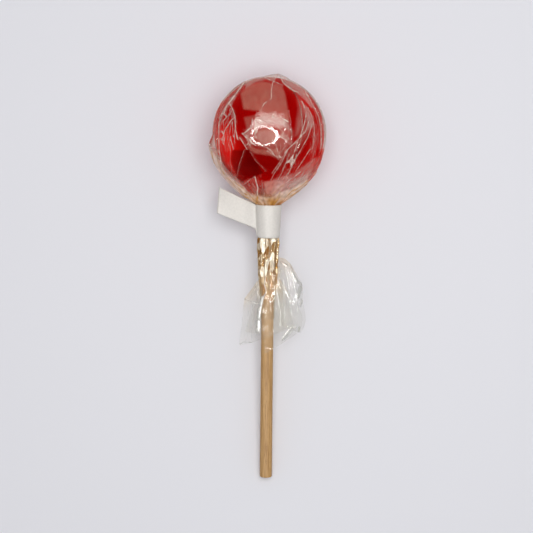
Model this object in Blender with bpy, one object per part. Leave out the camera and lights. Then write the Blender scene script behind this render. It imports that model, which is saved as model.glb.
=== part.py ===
"""A ball lollipop in clear film, lying on its side.

A candy ball on a birch stick, wrapped in one sheet of clear film. The film is gathered into a neck
under the ball, held there by a paper label whose ends are stuck together as a flag, and flares out
lower down as a pleated skirt.

World frame: metres, +Z up. The origin is the middle of the small flat spot under the ball, and the
stick runs towards -Y, sloping down until its far end touches the ground.

Every piece is made in the stick's own frame: X across, Y up, Z along the stick away from the ball,
measured from the ball's centre. Angles round the stick start at +X and turn towards +Y.
"""
import math

import bmesh
import bpy
from mathutils import Matrix, Vector

MM = 0.001
FULL_TURN = 2.0 * math.pi
MERGE_DISTANCE = 0.01 * MM

# Base colours, linear, and the film's opacity
CANDY_COLOUR = (0.23, 0.004, 0.003)
BIRCH_COLOUR = (0.42, 0.26, 0.11)
FILM_COLOUR = (0.9, 0.9, 0.92)
FILM_OPACITY = 0.3
PAPER_COLOUR = (0.74, 0.73, 0.71)

# Edges sharper than these are shaded as edges, the rest as round
ROUND_SHARP_ANGLE = math.radians(40.0)
FILM_SHARP_ANGLE = math.radians(50.0)
PAPER_SHARP_ANGLE = math.radians(35.0)

# Ball
FILM_BALL_RADIUS = 21.8 * MM
FILM_WALL = 0.35 * MM
FILM_SLACK = 0.4 * MM
CANDY_RADIUS = FILM_BALL_RADIUS - FILM_WALL - FILM_SLACK
FLAT_DEPTH = 0.2 * MM
BALL_HEIGHT = FILM_BALL_RADIUS - FLAT_DEPTH
GAP = 0.3 * MM
CANDY_SEGMENTS = 36
CANDY_ROWS = 18

# Stick, a dowel of 3/16 inch by 5 1/2 inches
STICK_RADIUS = 2.38 * MM
STICK_LENGTH = 139.7 * MM
STICK_PAST_CENTRE = 4.4 * MM
STICK_EDGE = 0.3 * MM
STICK_EDGE_STEPS = 2
STICK_EDGE_ANGLE = math.radians(60.0)
STICK_SIDES = 32

# Paper label round the neck
LABEL_TOP = 27.3 * MM
LABEL_BOTTOM = 40.0 * MM
LABEL_TOP_RADIUS = 5.05 * MM
LABEL_BOTTOM_RADIUS = 4.35 * MM
LABEL_THICKNESS = 0.3 * MM
LABEL_SEGMENTS = 40
LABEL_ROWS = 5

# Flag on the label's left side, where the two ends of the paper meet
FLAG_ROWS = 4
FLAG_STEPS = 7
FLAG_THICKNESS = 0.6 * MM
FLAG_TIP_ACROSS_TOP = -19.2 * MM
FLAG_TIP_ACROSS_BOTTOM = -19.9 * MM
FLAG_TIP_ALONG_TOP = 21.2 * MM
FLAG_TIP_ALONG_BOTTOM = 31.1 * MM
FLAG_DROOP_TOP = 3.5 * MM
FLAG_DROOP_BOTTOM = 1.0 * MM
FLAG_CLOSES_WITHIN = 1.0 / 3.0

# Film over the ball and its small point
FILM_COLUMNS = 48
BALL_ROW_ANGLE = math.radians(7.5)
BALL_ROWS = 12
TIP_LEAN = math.radians(8.4)
TIP_HEIGHT = 1.0 * MM
TIP_SPREAD = math.radians(16.0)

# Film funnel from the ball down to the neck; windows are shares of the way down it
LEAVE_SIDES = 3.0 * MM
LEAVE_BELOW = 10.0 * MM
LEAVE_BELOW_FROM = 0.3
LEAVE_BELOW_OVER = 0.6
NECK_START = 26.7 * MM
FUNNEL_POWER = 2.1
FUNNEL_PLEATS = 12
FUNNEL_PLEAT_DEPTH = 0.09
FUNNEL_PLEATS_RISE_FROM = 0.3
FUNNEL_PLEATS_RISE_OVER = 0.4
FUNNEL_PLEATS_FADE_FROM = 0.8
FUNNEL_PLEATS_FADE_OVER = 0.2
FUNNEL_WALL = 0.45 * MM
LEFT_FOLD_HEIGHT = 2.0 * MM
LEFT_FOLD_FADE = 5.0 * MM
LEFT_FOLD_NARROWNESS = 8

# Film tube against the stick: distance along the stick and outer radius
TUBE_PROFILE = (
    (40.0 * MM, 3.75 * MM),
    (41.2 * MM, 4.3 * MM),
    (44.0 * MM, 4.0 * MM),
    (47.0 * MM, 3.65 * MM),
    (56.0 * MM, 3.6 * MM),
)

# Film skirt: half sizes of its outline across and up, and where it opens and ends on each side
SKIRT_START = 47.0 * MM
SKIRT_END = 79.2 * MM
SKIRT_RIGHT = 14.4 * MM
SKIRT_LEFT = 9.8 * MM
SKIRT_UP = 7.4 * MM
SKIRT_DOWN = 7.6 * MM
SKIRT_OPENS_LEFT = 56.5 * MM
SKIRT_OPENS_RIGHT = 47.0 * MM
SKIRT_OPEN_LENGTH_LEFT = 10.0 * MM
SKIRT_OPEN_LENGTH_RIGHT = 13.5 * MM
SKIRT_LEFT_SPREAD = 0.11
SKIRT_PLEATS = 8
SKIRT_PLEAT_DEPTH = 0.36
SKIRT_WALL = 0.6 * MM
RIM_LEAN_UP = 4.0 * MM
RIM_LEAN_LEFT = 2.6 * MM
RIM_SCALLOP = 1.4 * MM

# Rows of the film along the stick, past the ball's widest circle
FUNNEL_ROWS = tuple(s * MM for s in (3.0, 6.0, 9.0, 12.0, 15.0, 18.0, 20.5, 23.0, 25.2, 26.7))
NECK_ROWS = tuple(s * MM for s in (27.0, 40.0, 41.2, 44.0, 47.0))
SKIRT_ROWS = tuple(s * MM for s in (49.0, 51.0, 53.5, 56.0, 58.5, 61.0, 63.5, 67.0, 71.0, 75.0, 79.2))


def clear_scene():
    """Remove every object that the file opened with."""
    for obj in list(bpy.data.objects):
        bpy.data.objects.remove(obj)


def make_material(name, colour, roughness, alpha=1.0):
    """Return a Principled material of one colour."""
    material = bpy.data.materials.new(name)
    material.use_nodes = True
    shader = material.node_tree.nodes["Principled BSDF"]
    shader.inputs["Base Color"].default_value = (*colour, 1.0)
    shader.inputs["Roughness"].default_value = roughness
    shader.inputs["Metallic"].default_value = 0.0
    shader.inputs["Alpha"].default_value = alpha
    return material


def make_part(name, bm, material, parent, sharp_angle):
    """Turn a bmesh into a smooth-shaded object that hangs from the stick's frame."""
    mesh = bpy.data.meshes.new(name)
    bm.to_mesh(mesh)
    bm.free()
    mesh.shade_smooth()
    mesh.set_sharp_from_angle(angle=sharp_angle)
    mesh.materials.append(material)
    part = bpy.data.objects.new(name, mesh)
    bpy.context.collection.objects.link(part)
    part.parent = parent
    return part


def smooth_step(value):
    """Ease from 0 to 1 as value goes from 0 to 1, and hold outside."""
    value = min(max(value, 0.0), 1.0)
    return value * value * (3.0 - 2.0 * value)


def blend(start, end, share):
    """Return the value that lies a share of the way from start to end."""
    return start + (end - start) * share


def around(radius, angle, along):
    """Return the point at a radius and an angle round the stick, a distance along it."""
    return Vector((radius * math.cos(angle), radius * math.sin(angle), along))


def stick_tilt():
    """Return the slope at which the far end of the stick touches the ground."""
    reach = STICK_LENGTH - STICK_PAST_CENTRE - STICK_EDGE
    side = STICK_RADIUS * math.cos(math.pi / STICK_SIDES)
    return math.asin(BALL_HEIGHT / math.hypot(reach, side)) - math.atan2(side, reach)


def make_stick_frame():
    """Return the empty whose axes are the stick's own frame, at the ball's centre."""
    frame = bpy.data.objects.new("stick_frame", None)
    frame.location = (0.0, 0.0, BALL_HEIGHT)
    frame.rotation_euler = (math.pi / 2.0 + stick_tilt(), 0.0, 0.0)
    bpy.context.collection.objects.link(frame)
    return frame


# Candy and stick

def candy_profile():
    """Return the half outline of the ball, from its far pole round into the stick's blind hole."""
    hole_radius = STICK_RADIUS + GAP
    hole_floor = -(STICK_PAST_CENTRE + GAP)
    last_angle = math.pi - math.asin(hole_radius / CANDY_RADIUS)
    outline = []
    for row in range(CANDY_ROWS + 1):
        angle = last_angle * row / CANDY_ROWS
        outline.append((CANDY_RADIUS * math.sin(angle), -CANDY_RADIUS * math.cos(angle)))
    outline.append((hole_radius, hole_floor))
    outline.append((0.0, hole_floor))
    return outline


def make_candy(parent):
    """Turn the candy ball with the hole that the stick sits in."""
    bm = bmesh.new()
    verts = [bm.verts.new((radius, 0.0, along)) for radius, along in candy_profile()]
    edges = [bm.edges.new(pair) for pair in zip(verts, verts[1:])]
    bmesh.ops.spin(bm, geom=verts + edges, cent=(0, 0, 0), axis=(0, 0, 1), dvec=(0, 0, 0),
                   angle=FULL_TURN, steps=CANDY_SEGMENTS, use_merge=True)
    bmesh.ops.remove_doubles(bm, verts=bm.verts, dist=MERGE_DISTANCE)
    bmesh.ops.recalc_face_normals(bm, faces=bm.faces)
    material = make_material("hard_candy", CANDY_COLOUR, roughness=0.12)
    make_part("candy", bm, material, parent, ROUND_SHARP_ANGLE)


def make_stick(parent):
    """Make the dowel, turned so that one of its long facets faces down, with eased ends."""
    bm = bmesh.new()
    bmesh.ops.create_cone(bm, cap_ends=True, segments=STICK_SIDES, radius1=STICK_RADIUS,
                          radius2=STICK_RADIUS, depth=STICK_LENGTH)
    middle = STICK_LENGTH / 2.0 - STICK_PAST_CENTRE
    placing = Matrix.Translation((0.0, 0.0, middle)) @ Matrix.Rotation(math.pi / STICK_SIDES, 4, "Z")
    bmesh.ops.transform(bm, matrix=placing, verts=bm.verts)
    material = make_material("birch_dowel", BIRCH_COLOUR, roughness=0.55)
    stick = make_part("stick", bm, material, parent, ROUND_SHARP_ANGLE)
    bevel = stick.modifiers.new("eased_ends", "BEVEL")
    bevel.width = STICK_EDGE
    bevel.segments = STICK_EDGE_STEPS
    bevel.limit_method = "ANGLE"
    bevel.angle_limit = STICK_EDGE_ANGLE


# Film wrapper

def leave_station(angle):
    """Return how far along the stick the film leaves the ball: later on its under side."""
    below = smooth_step((-math.sin(angle) - LEAVE_BELOW_FROM) / LEAVE_BELOW_OVER)
    return blend(LEAVE_SIDES, LEAVE_BELOW, below)


def left_fold(along, angle):
    """Return how far the loose fold on the left stands off the film beside it."""
    across = max(0.0, -math.cos(angle)) ** LEFT_FOLD_NARROWNESS
    fade_in = smooth_step(along / LEFT_FOLD_FADE)
    fade_out = 1.0 - smooth_step(along / NECK_START) ** 2
    return LEFT_FOLD_HEIGHT * across * fade_in * fade_out


def funnel_pleat_depth(share):
    """Return how deep the funnel's pleats are, a share of the way down it: none at either end."""
    rise = smooth_step((share - FUNNEL_PLEATS_RISE_FROM) / FUNNEL_PLEATS_RISE_OVER)
    fade = smooth_step((share - FUNNEL_PLEATS_FADE_FROM) / FUNNEL_PLEATS_FADE_OVER)
    return FUNNEL_PLEAT_DEPTH * rise * (1.0 - fade)


def funnel_radius(along, angle):
    """Return the film's radius between the ball and the neck, with pleats that deepen downwards."""
    leave = leave_station(angle)
    start = math.sqrt(FILM_BALL_RADIUS ** 2 - leave ** 2)
    share = (along - leave) / (NECK_START - leave)
    radius = LABEL_TOP_RADIUS + (start - LABEL_TOP_RADIUS) * (1.0 - share ** FUNNEL_POWER)
    valley = 0.5 - 0.5 * math.cos(FUNNEL_PLEATS * angle)
    return radius * (1.0 - funnel_pleat_depth(share) * valley)


def tube_radius(along):
    """Return the radius of the film bunched round the stick below the label."""
    for (start, first), (end, second) in zip(TUBE_PROFILE, TUBE_PROFILE[1:]):
        if along <= end:
            return blend(first, second, (along - start) / (end - start))
    return TUBE_PROFILE[-1][1]


def skirt_outline(angle):
    """Return the skirt's full radius at an angle: four quarter ellipses of unlike sizes."""
    half_width = SKIRT_RIGHT if math.cos(angle) > 0.0 else SKIRT_LEFT
    half_height = SKIRT_UP if math.sin(angle) > 0.0 else SKIRT_DOWN
    return 1.0 / math.hypot(math.cos(angle) / half_width, math.sin(angle) / half_height)


def skirt_radius(along, angle):
    """Return the film's radius where it flares from the tube into the pleated skirt."""
    rightness = 0.5 + 0.5 * math.cos(angle)
    opens = blend(SKIRT_OPENS_LEFT, SKIRT_OPENS_RIGHT, rightness)
    length = blend(SKIRT_OPEN_LENGTH_LEFT, SKIRT_OPEN_LENGTH_RIGHT, rightness)
    opening = smooth_step((along - opens) / length)
    spread = SKIRT_LEFT_SPREAD * max(0.0, -math.cos(angle)) * max(0.0, along - opens - length)
    valley = 0.5 - 0.5 * math.cos(SKIRT_PLEATS * angle)
    full = (skirt_outline(angle) + spread) * (1.0 - SKIRT_PLEAT_DEPTH * valley)
    return blend(tube_radius(along), full, opening)


def film_radius(along, angle):
    """Return the outer radius of the film at a place along the stick and round it."""
    if along <= leave_station(angle):
        radius = math.sqrt(max(FILM_BALL_RADIUS ** 2 - along ** 2, 0.0))
    elif along <= NECK_START:
        radius = funnel_radius(along, angle)
    elif along <= LABEL_BOTTOM:
        share = (along - LABEL_TOP) / (LABEL_BOTTOM - LABEL_TOP)
        radius = blend(LABEL_TOP_RADIUS, LABEL_BOTTOM_RADIUS, share) - LABEL_THICKNESS - GAP
    else:
        radius = skirt_radius(along, angle)
    return radius + left_fold(along, angle)


def rim_station(angle):
    """Return where the skirt ends at an angle: an uneven edge with soft points."""
    lean = RIM_LEAN_UP * math.sin(angle) - RIM_LEAN_LEFT * math.cos(angle)
    return SKIRT_END + lean + RIM_SCALLOP * math.cos(SKIRT_PLEATS / 2.0 * angle)


def row_station(row, angle):
    """Return how far along the stick a row of the film passes at an angle."""
    if row <= SKIRT_START:
        return row
    share = (row - SKIRT_START) / (SKIRT_END - SKIRT_START)
    return blend(SKIRT_START, rim_station(angle), share)


def tip_rise(direction):
    """Return how far the film's small point lifts it off the ball in a direction."""
    tip = Vector((math.sin(TIP_LEAN), 0.0, -math.cos(TIP_LEAN)))
    return TIP_HEIGHT * max(0.0, 1.0 - direction.angle(tip) / TIP_SPREAD)


def ball_ring(bm, row, inset):
    """Add one ring of the film on the far half of the ball, counted from its pole."""
    polar = row * BALL_ROW_ANGLE
    ring = []
    for column in range(FILM_COLUMNS):
        angle = FULL_TURN * column / FILM_COLUMNS
        direction = around(math.sin(polar), angle, -math.cos(polar))
        ring.append(bm.verts.new(direction * (FILM_BALL_RADIUS - inset + tip_rise(direction))))
    return ring


def long_ring(bm, row, inset):
    """Add one ring of the film past the ball's widest circle, kept clear of the stick."""
    ring = []
    for column in range(FILM_COLUMNS):
        angle = FULL_TURN * column / FILM_COLUMNS
        along = row_station(row, angle)
        radius = max(film_radius(along, angle) - inset, STICK_RADIUS + GAP)
        ring.append(bm.verts.new(around(radius, angle, along)))
    return ring


def inner_wall(row):
    """Return the film's wall thickness, measured across the stick, at a row."""
    if row <= LEAVE_BELOW:
        return FILM_WALL
    if row <= NECK_START:
        return FUNNEL_WALL
    if row <= SKIRT_START:
        return LABEL_TOP_RADIUS
    return SKIRT_WALL


def skin(bm, rings):
    """Join each ring to the next with triangles that all lean the same way."""
    for ring, following in zip(rings, rings[1:]):
        for column in range(FILM_COLUMNS):
            after = (column + 1) % FILM_COLUMNS
            bm.faces.new((ring[column], ring[after], following[after]))
            bm.faces.new((ring[column], following[after], following[column]))


def close_pole(bm, ring, inset):
    """Close the ring nearest the film's far end with a fan of triangles."""
    direction = Vector((0.0, 0.0, -1.0))
    pole = bm.verts.new(direction * (FILM_BALL_RADIUS - inset + tip_rise(direction)))
    for column in range(FILM_COLUMNS):
        bm.faces.new((pole, ring[(column + 1) % FILM_COLUMNS], ring[column]))


def flatten_underneath(bm):
    """Slice off the film below the ground and close the cut as the flat spot that it rests on."""
    tilt = stick_tilt()
    upwards = Vector((0.0, math.cos(tilt), -math.sin(tilt)))
    geometry = bm.verts[:] + bm.edges[:] + bm.faces[:]
    cut = bmesh.ops.bisect_plane(bm, geom=geometry, plane_co=-BALL_HEIGHT * upwards, plane_no=upwards,
                                 clear_inner=True)
    rim = [item for item in cut["geom_cut"] if isinstance(item, bmesh.types.BMEdge)]
    bmesh.ops.edgeloop_fill(bm, edges=rim)


def make_wrapper(parent):
    """Make the film as one thin closed shell: outside, inside and the skirt's open rim."""
    bm = bmesh.new()
    long_rows = FUNNEL_ROWS + NECK_ROWS + SKIRT_ROWS
    outside = [ball_ring(bm, row, 0.0) for row in range(1, BALL_ROWS + 1)]
    outside += [long_ring(bm, row, 0.0) for row in long_rows]
    inside = [ball_ring(bm, row, FILM_WALL) for row in range(2, BALL_ROWS + 1, 2)]
    inside += [long_ring(bm, row, inner_wall(row)) for row in FUNNEL_ROWS[1::2]]
    inside += [long_ring(bm, row, inner_wall(row)) for row in NECK_ROWS + SKIRT_ROWS]
    skin(bm, outside)
    skin(bm, inside)
    skin(bm, [outside[-1], inside[-1]])
    close_pole(bm, outside[0], 0.0)
    close_pole(bm, inside[0], FILM_WALL)
    bmesh.ops.recalc_face_normals(bm, faces=bm.faces)
    flatten_underneath(bm)
    material = make_material("clear_film", FILM_COLOUR, roughness=0.08, alpha=FILM_OPACITY)
    make_part("wrapper", bm, material, parent, FILM_SHARP_ANGLE)


# Label

def label_ring(bm, share, inset):
    """Add one ring of the label's band, a share of the way down it."""
    radius = blend(LABEL_TOP_RADIUS, LABEL_BOTTOM_RADIUS, share) - inset
    along = blend(LABEL_TOP, LABEL_BOTTOM, share)
    turns = [(column + 0.5) / LABEL_SEGMENTS for column in range(LABEL_SEGMENTS)]
    return [bm.verts.new(around(radius, FULL_TURN * turn, along)) for turn in turns]


def wrap_faces(bm, ring, following):
    """Join two rings of the label with quads and return them in order."""
    faces = []
    for column in range(LABEL_SEGMENTS):
        after = (column + 1) % LABEL_SEGMENTS
        faces.append(bm.faces.new((ring[column], ring[after], following[after], following[column])))
    return faces


def flag_point(root, reach):
    """Return where a point of the flag's root lies once it is carried a share of the way out."""
    last_flag_row = blend(LABEL_TOP, LABEL_BOTTOM, FLAG_ROWS / LABEL_ROWS)
    down = (root.z - LABEL_TOP) / (last_flag_row - LABEL_TOP)
    tip_across = blend(FLAG_TIP_ACROSS_TOP, FLAG_TIP_ACROSS_BOTTOM, down)
    tip_along = blend(FLAG_TIP_ALONG_TOP, FLAG_TIP_ALONG_BOTTOM, down)
    droop = blend(FLAG_DROOP_TOP, FLAG_DROOP_BOTTOM, down) * reach ** 2
    half = blend(abs(root.y), FLAG_THICKNESS / 2.0, smooth_step(reach / FLAG_CLOSES_WITHIN))
    side = math.copysign(half, root.y)
    return Vector((blend(root.x, tip_across, reach), side - droop, blend(root.z, tip_along, reach)))


def pull_out_flag(bm, faces):
    """Extrude the flag from the band's left side in short steps, each at its own place."""
    roots = {vert: vert.co.copy() for face in faces for vert in face.verts}
    for step in range(1, FLAG_STEPS + 1):
        edges = {edge for face in faces for edge in face.edges}
        moved = bmesh.ops.extrude_face_region(bm, geom=faces + list(edges) + list(roots))["geom"]
        faces = [item for item in moved if isinstance(item, bmesh.types.BMFace)]
        carried = {}
        for vert in {vert for face in faces for vert in face.verts}:
            nearest = min(roots, key=lambda old: (old.co - vert.co).length)
            carried[vert] = roots[nearest]
        for vert, root in carried.items():
            vert.co = flag_point(root, step / FLAG_STEPS)
        roots = carried


def make_label(parent):
    """Make the paper band round the neck, with its flag, as one closed body."""
    bm = bmesh.new()
    outside = [label_ring(bm, row / LABEL_ROWS, 0.0) for row in range(LABEL_ROWS + 1)]
    inside = [label_ring(bm, share, LABEL_THICKNESS) for share in (0.0, 1.0)]
    bands = [wrap_faces(bm, ring, following) for ring, following in zip(outside, outside[1:])]
    wrap_faces(bm, inside[0], inside[1])
    wrap_faces(bm, outside[0], inside[0])
    wrap_faces(bm, outside[-1], inside[-1])
    bmesh.ops.recalc_face_normals(bm, faces=bm.faces)
    left_column = LABEL_SEGMENTS // 2 - 1
    pull_out_flag(bm, [band[left_column] for band in bands[:FLAG_ROWS]])
    bmesh.ops.triangulate(bm, faces=bm.faces)
    material = make_material("label_paper", PAPER_COLOUR, roughness=0.5)
    make_part("label", bm, material, parent, PAPER_SHARP_ANGLE)


def main():
    """Build the lollipop."""
    clear_scene()
    stick_frame = make_stick_frame()
    make_candy(stick_frame)
    make_stick(stick_frame)
    make_wrapper(stick_frame)
    make_label(stick_frame)


main()
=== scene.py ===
"""Looks of a ball lollipop in clear film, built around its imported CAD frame.

The candy, the stick, the film and the paper label are modelled in the stick's own frame, in
millimetres: X across, Y up, Z along the stick away from the ball, measured from the ball's centre.
Angles round the stick start at +X and turn towards +Y, so 90 degrees faces the camera. A finished
piece is then placed in the row frame, in metres.
"""

import logging
import math
import random
from collections.abc import Callable
from dataclasses import dataclass, field
from enum import Enum

import bmesh
import bpy
from mathutils import Matrix, Vector, noise


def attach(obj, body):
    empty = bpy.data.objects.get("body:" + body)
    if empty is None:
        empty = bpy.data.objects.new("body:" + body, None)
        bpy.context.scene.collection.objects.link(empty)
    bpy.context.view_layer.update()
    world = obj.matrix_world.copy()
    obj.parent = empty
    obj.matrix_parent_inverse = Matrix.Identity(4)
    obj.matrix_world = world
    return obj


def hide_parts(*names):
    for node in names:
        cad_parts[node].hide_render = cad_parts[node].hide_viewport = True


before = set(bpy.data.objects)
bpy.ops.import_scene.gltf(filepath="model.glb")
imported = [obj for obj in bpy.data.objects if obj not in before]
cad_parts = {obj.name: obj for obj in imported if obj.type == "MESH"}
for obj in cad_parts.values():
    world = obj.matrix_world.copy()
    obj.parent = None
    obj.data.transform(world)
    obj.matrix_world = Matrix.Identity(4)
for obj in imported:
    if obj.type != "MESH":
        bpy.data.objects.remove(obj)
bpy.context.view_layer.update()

LOG = logging.getLogger("lollipop")
ROOT_BODY = "root"

# Metres in a millimetre, and radians in a full turn
MM = 0.001
FULL_TURN = 2.0 * math.pi

# Sizes that several pieces share, in millimetres
BALL_HEIGHT = 21.6
STICK_REACH = 135.0
STICK_RADIUS = 2.38
LABEL_TOP = 27.3
LABEL_TOP_RADIUS = 5.05
FILM_WALL = 0.04
MERGE_DISTANCE = 0.002

# What a sheet of film stores at each of its places, for its material to read
SHEET_LOOKS = ("haze", "warm", "bunch", "blush", "shade", "gap", "line", "strand")

# How far past its ends a crease is looked for, in millimetres, and the gap that stands for no crease
CREASE_REACH = 1.5
NO_CREASE = 3.0


class Slot(Enum):
    """Material slots of the record."""

    CANDY = "candy"
    STICK = "stick"
    FILM = "film"
    LABEL = "label"


class Node(Enum):
    """CAD nodes that the pieces stand for."""

    CANDY = "candy"
    STICK = "stick"
    WRAPPER = "wrapper"
    LABEL = "label"


# Small helpers


def linear(hex_colour: str) -> tuple[float, float, float, float]:
    """Turn an sRGB hex colour into linear red, green, blue and alpha.

    Args:
        hex_colour: Six hex digits after a hash sign.

    Returns:
        The linear colour with an alpha of 1.
    """
    channels = [int(hex_colour[place:place + 2], 16) / 255.0 for place in (1, 3, 5)]
    red, green, blue = (c / 12.92 if c <= 0.04045 else ((c + 0.055) / 1.055) ** 2.4 for c in channels)
    return (red, green, blue, 1.0)


def add_node(
    tree: bpy.types.NodeTree,
    kind: str,
    settings: dict | None = None,
    links: dict | None = None,
) -> bpy.types.Node:
    """Add a shader node with its settings and links.

    Args:
        tree: The node tree that gets the node.
        kind: Blender's name for the node's type.
        settings: Values of sockets, by name or number, and of the node's own properties. The entry
            "stops" holds a colour ramp's positions and colours.
        links: Output sockets to connect, by the name or number of the input they go to.

    Returns:
        The new node.
    """
    node = tree.nodes.new(kind)
    for name, value in (settings or {}).items():
        if name == "stops":
            elements = node.color_ramp.elements
            while len(elements) < len(value):
                elements.new(1.0)
            for element, (position, colour) in zip(elements, value):
                element.position = position
                element.color = colour
        elif isinstance(name, int) or name in node.inputs:
            node.inputs[name].default_value = value
        else:
            setattr(node, name, value)
    for name, socket in (links or {}).items():
        tree.links.new(socket, node.inputs[name])
    return node


def new_material(name: str) -> tuple[bpy.types.Material, bpy.types.NodeTree]:
    """Make an empty node material.

    Args:
        name: The material's name.

    Returns:
        The material and its node tree, with no nodes in it.
    """
    material = bpy.data.materials.new(name)
    material.use_nodes = True
    material.node_tree.nodes.clear()
    return material, material.node_tree


def finish_material(tree: bpy.types.NodeTree, shader: bpy.types.NodeSocket) -> None:
    """Connect the last shader of a material to its output.

    Args:
        tree: The material's node tree.
        shader: The output socket of its last shader.
    """
    add_node(tree, "ShaderNodeOutputMaterial", links={"Surface": shader})


def smooth_step(value: float) -> float:
    """Ease from 0 to 1 as value goes from 0 to 1, and hold outside."""
    value = min(max(value, 0.0), 1.0)
    return value * value * (3.0 - 2.0 * value)


def blend(start: float, end: float, share: float) -> float:
    """Return the value that lies a share of the way from start to end."""
    return start + (end - start) * share


def around(radius: float, angle: float, along: float) -> Vector:
    """Return the point at a radius and an angle round the stick, a distance along it."""
    return Vector((radius * math.cos(angle), radius * math.sin(angle), along))


def angle_between(angle: float, other: float) -> float:
    """Return how far an angle lies past another one, from minus to plus half a turn."""
    return (angle - other + math.pi) % FULL_TURN - math.pi


def stick_tilt() -> float:
    """Return the slope at which the far end of the stick touches the ground, in radians."""
    lowest = math.hypot(STICK_REACH, STICK_RADIUS)
    return math.asin(BALL_HEIGHT / lowest) - math.atan2(STICK_RADIUS, STICK_REACH)


def placing() -> Matrix:
    """Return the matrix from the stick's frame in millimetres to the row frame in metres."""
    turned = Matrix.Rotation(math.pi / 2.0 + stick_tilt(), 4, "X")
    return Matrix.Translation((0.0, 0.0, BALL_HEIGHT * MM)) @ turned @ Matrix.Scale(MM, 4)


def make_piece(
    name: str,
    bm: bmesh.types.BMesh,
    material: bpy.types.Material,
    stands_for: Node,
) -> bpy.types.Object:
    """Place a finished mesh in the row frame and hang it on the object's body.

    Args:
        name: The piece's name.
        bm: Its mesh in the stick's frame, in millimetres. It is freed.
        material: Its material.
        stands_for: The CAD node that the piece takes the place of.

    Returns:
        The new object, at the origin, unturned and unscaled.
    """
    bmesh.ops.transform(bm, matrix=placing(), verts=bm.verts)
    mesh = bpy.data.meshes.new(name)
    bm.to_mesh(mesh)
    bm.free()
    mesh.shade_smooth()
    mesh.materials.append(material)
    piece = bpy.data.objects.new(name, mesh)
    bpy.context.collection.objects.link(piece)
    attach(piece, ROOT_BODY)
    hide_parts(stands_for.value)
    LOG.info("%s: %d faces", name, len(mesh.polygons))
    return piece


def spun(outline: list[Vector], steps: int) -> bmesh.types.BMesh:
    """Spin a half outline round the stick's axis into a closed shape.

    Args:
        outline: Its corners, from the axis round to the axis again.
        steps: Faces round the shape.

    Returns:
        The shape, with its faces pointing outwards.
    """
    bm = bmesh.new()
    verts = [bm.verts.new(point) for point in outline]
    edges = [bm.edges.new(pair) for pair in zip(verts, verts[1:])]
    bmesh.ops.spin(
        bm, geom=verts + edges, cent=(0, 0, 0), axis=(0, 0, 1), dvec=(0, 0, 0),
        angle=FULL_TURN, steps=steps, use_merge=True,
    )
    bmesh.ops.remove_doubles(bm, verts=bm.verts, dist=MERGE_DISTANCE)
    bmesh.ops.recalc_face_normals(bm, faces=bm.faces)
    return bm


def give_wall(piece: bpy.types.Object, thickness: float) -> None:
    """Give a sheet its thickness, half of it to either side.

    Args:
        piece: The sheet.
        thickness: Its thickness in millimetres.
    """
    wall = piece.modifiers.new("wall", "SOLIDIFY")
    wall.thickness = thickness * MM
    wall.offset = 0.0


# Finishes


def stick_place(tree: bpy.types.NodeTree) -> bpy.types.NodeSocket:
    """Add nodes that give a place in the stick's frame.

    Args:
        tree: The material's node tree.

    Returns:
        The socket that gives the place in metres, with Z along the stick.
    """
    place = add_node(tree, "ShaderNodeTexCoord")
    turn = -(math.pi / 2.0 + stick_tilt())
    middle = Matrix.Rotation(turn, 3, "X") @ Vector((0.0, 0.0, BALL_HEIGHT * MM))
    turned = add_node(
        tree, "ShaderNodeMapping",
        {"vector_type": "POINT", "Location": -middle, "Rotation": (turn, 0.0, 0.0)},
        {"Vector": place.outputs["Object"]},
    )
    return turned.outputs[0]


@dataclass(frozen=True)
class PaintedGlow:
    """A painted glow: a part of the ball whose colour is painted brighter, for light that comes through the
    sugar there.

    Attributes:
        middle: Its middle in the row frame, in millimetres.
        reach: How far it reaches from its middle, in millimetres.
        strength: How bright its middle is, from 0 to 1.
    """

    middle: tuple[float, float, float]
    reach: float
    strength: float


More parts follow.
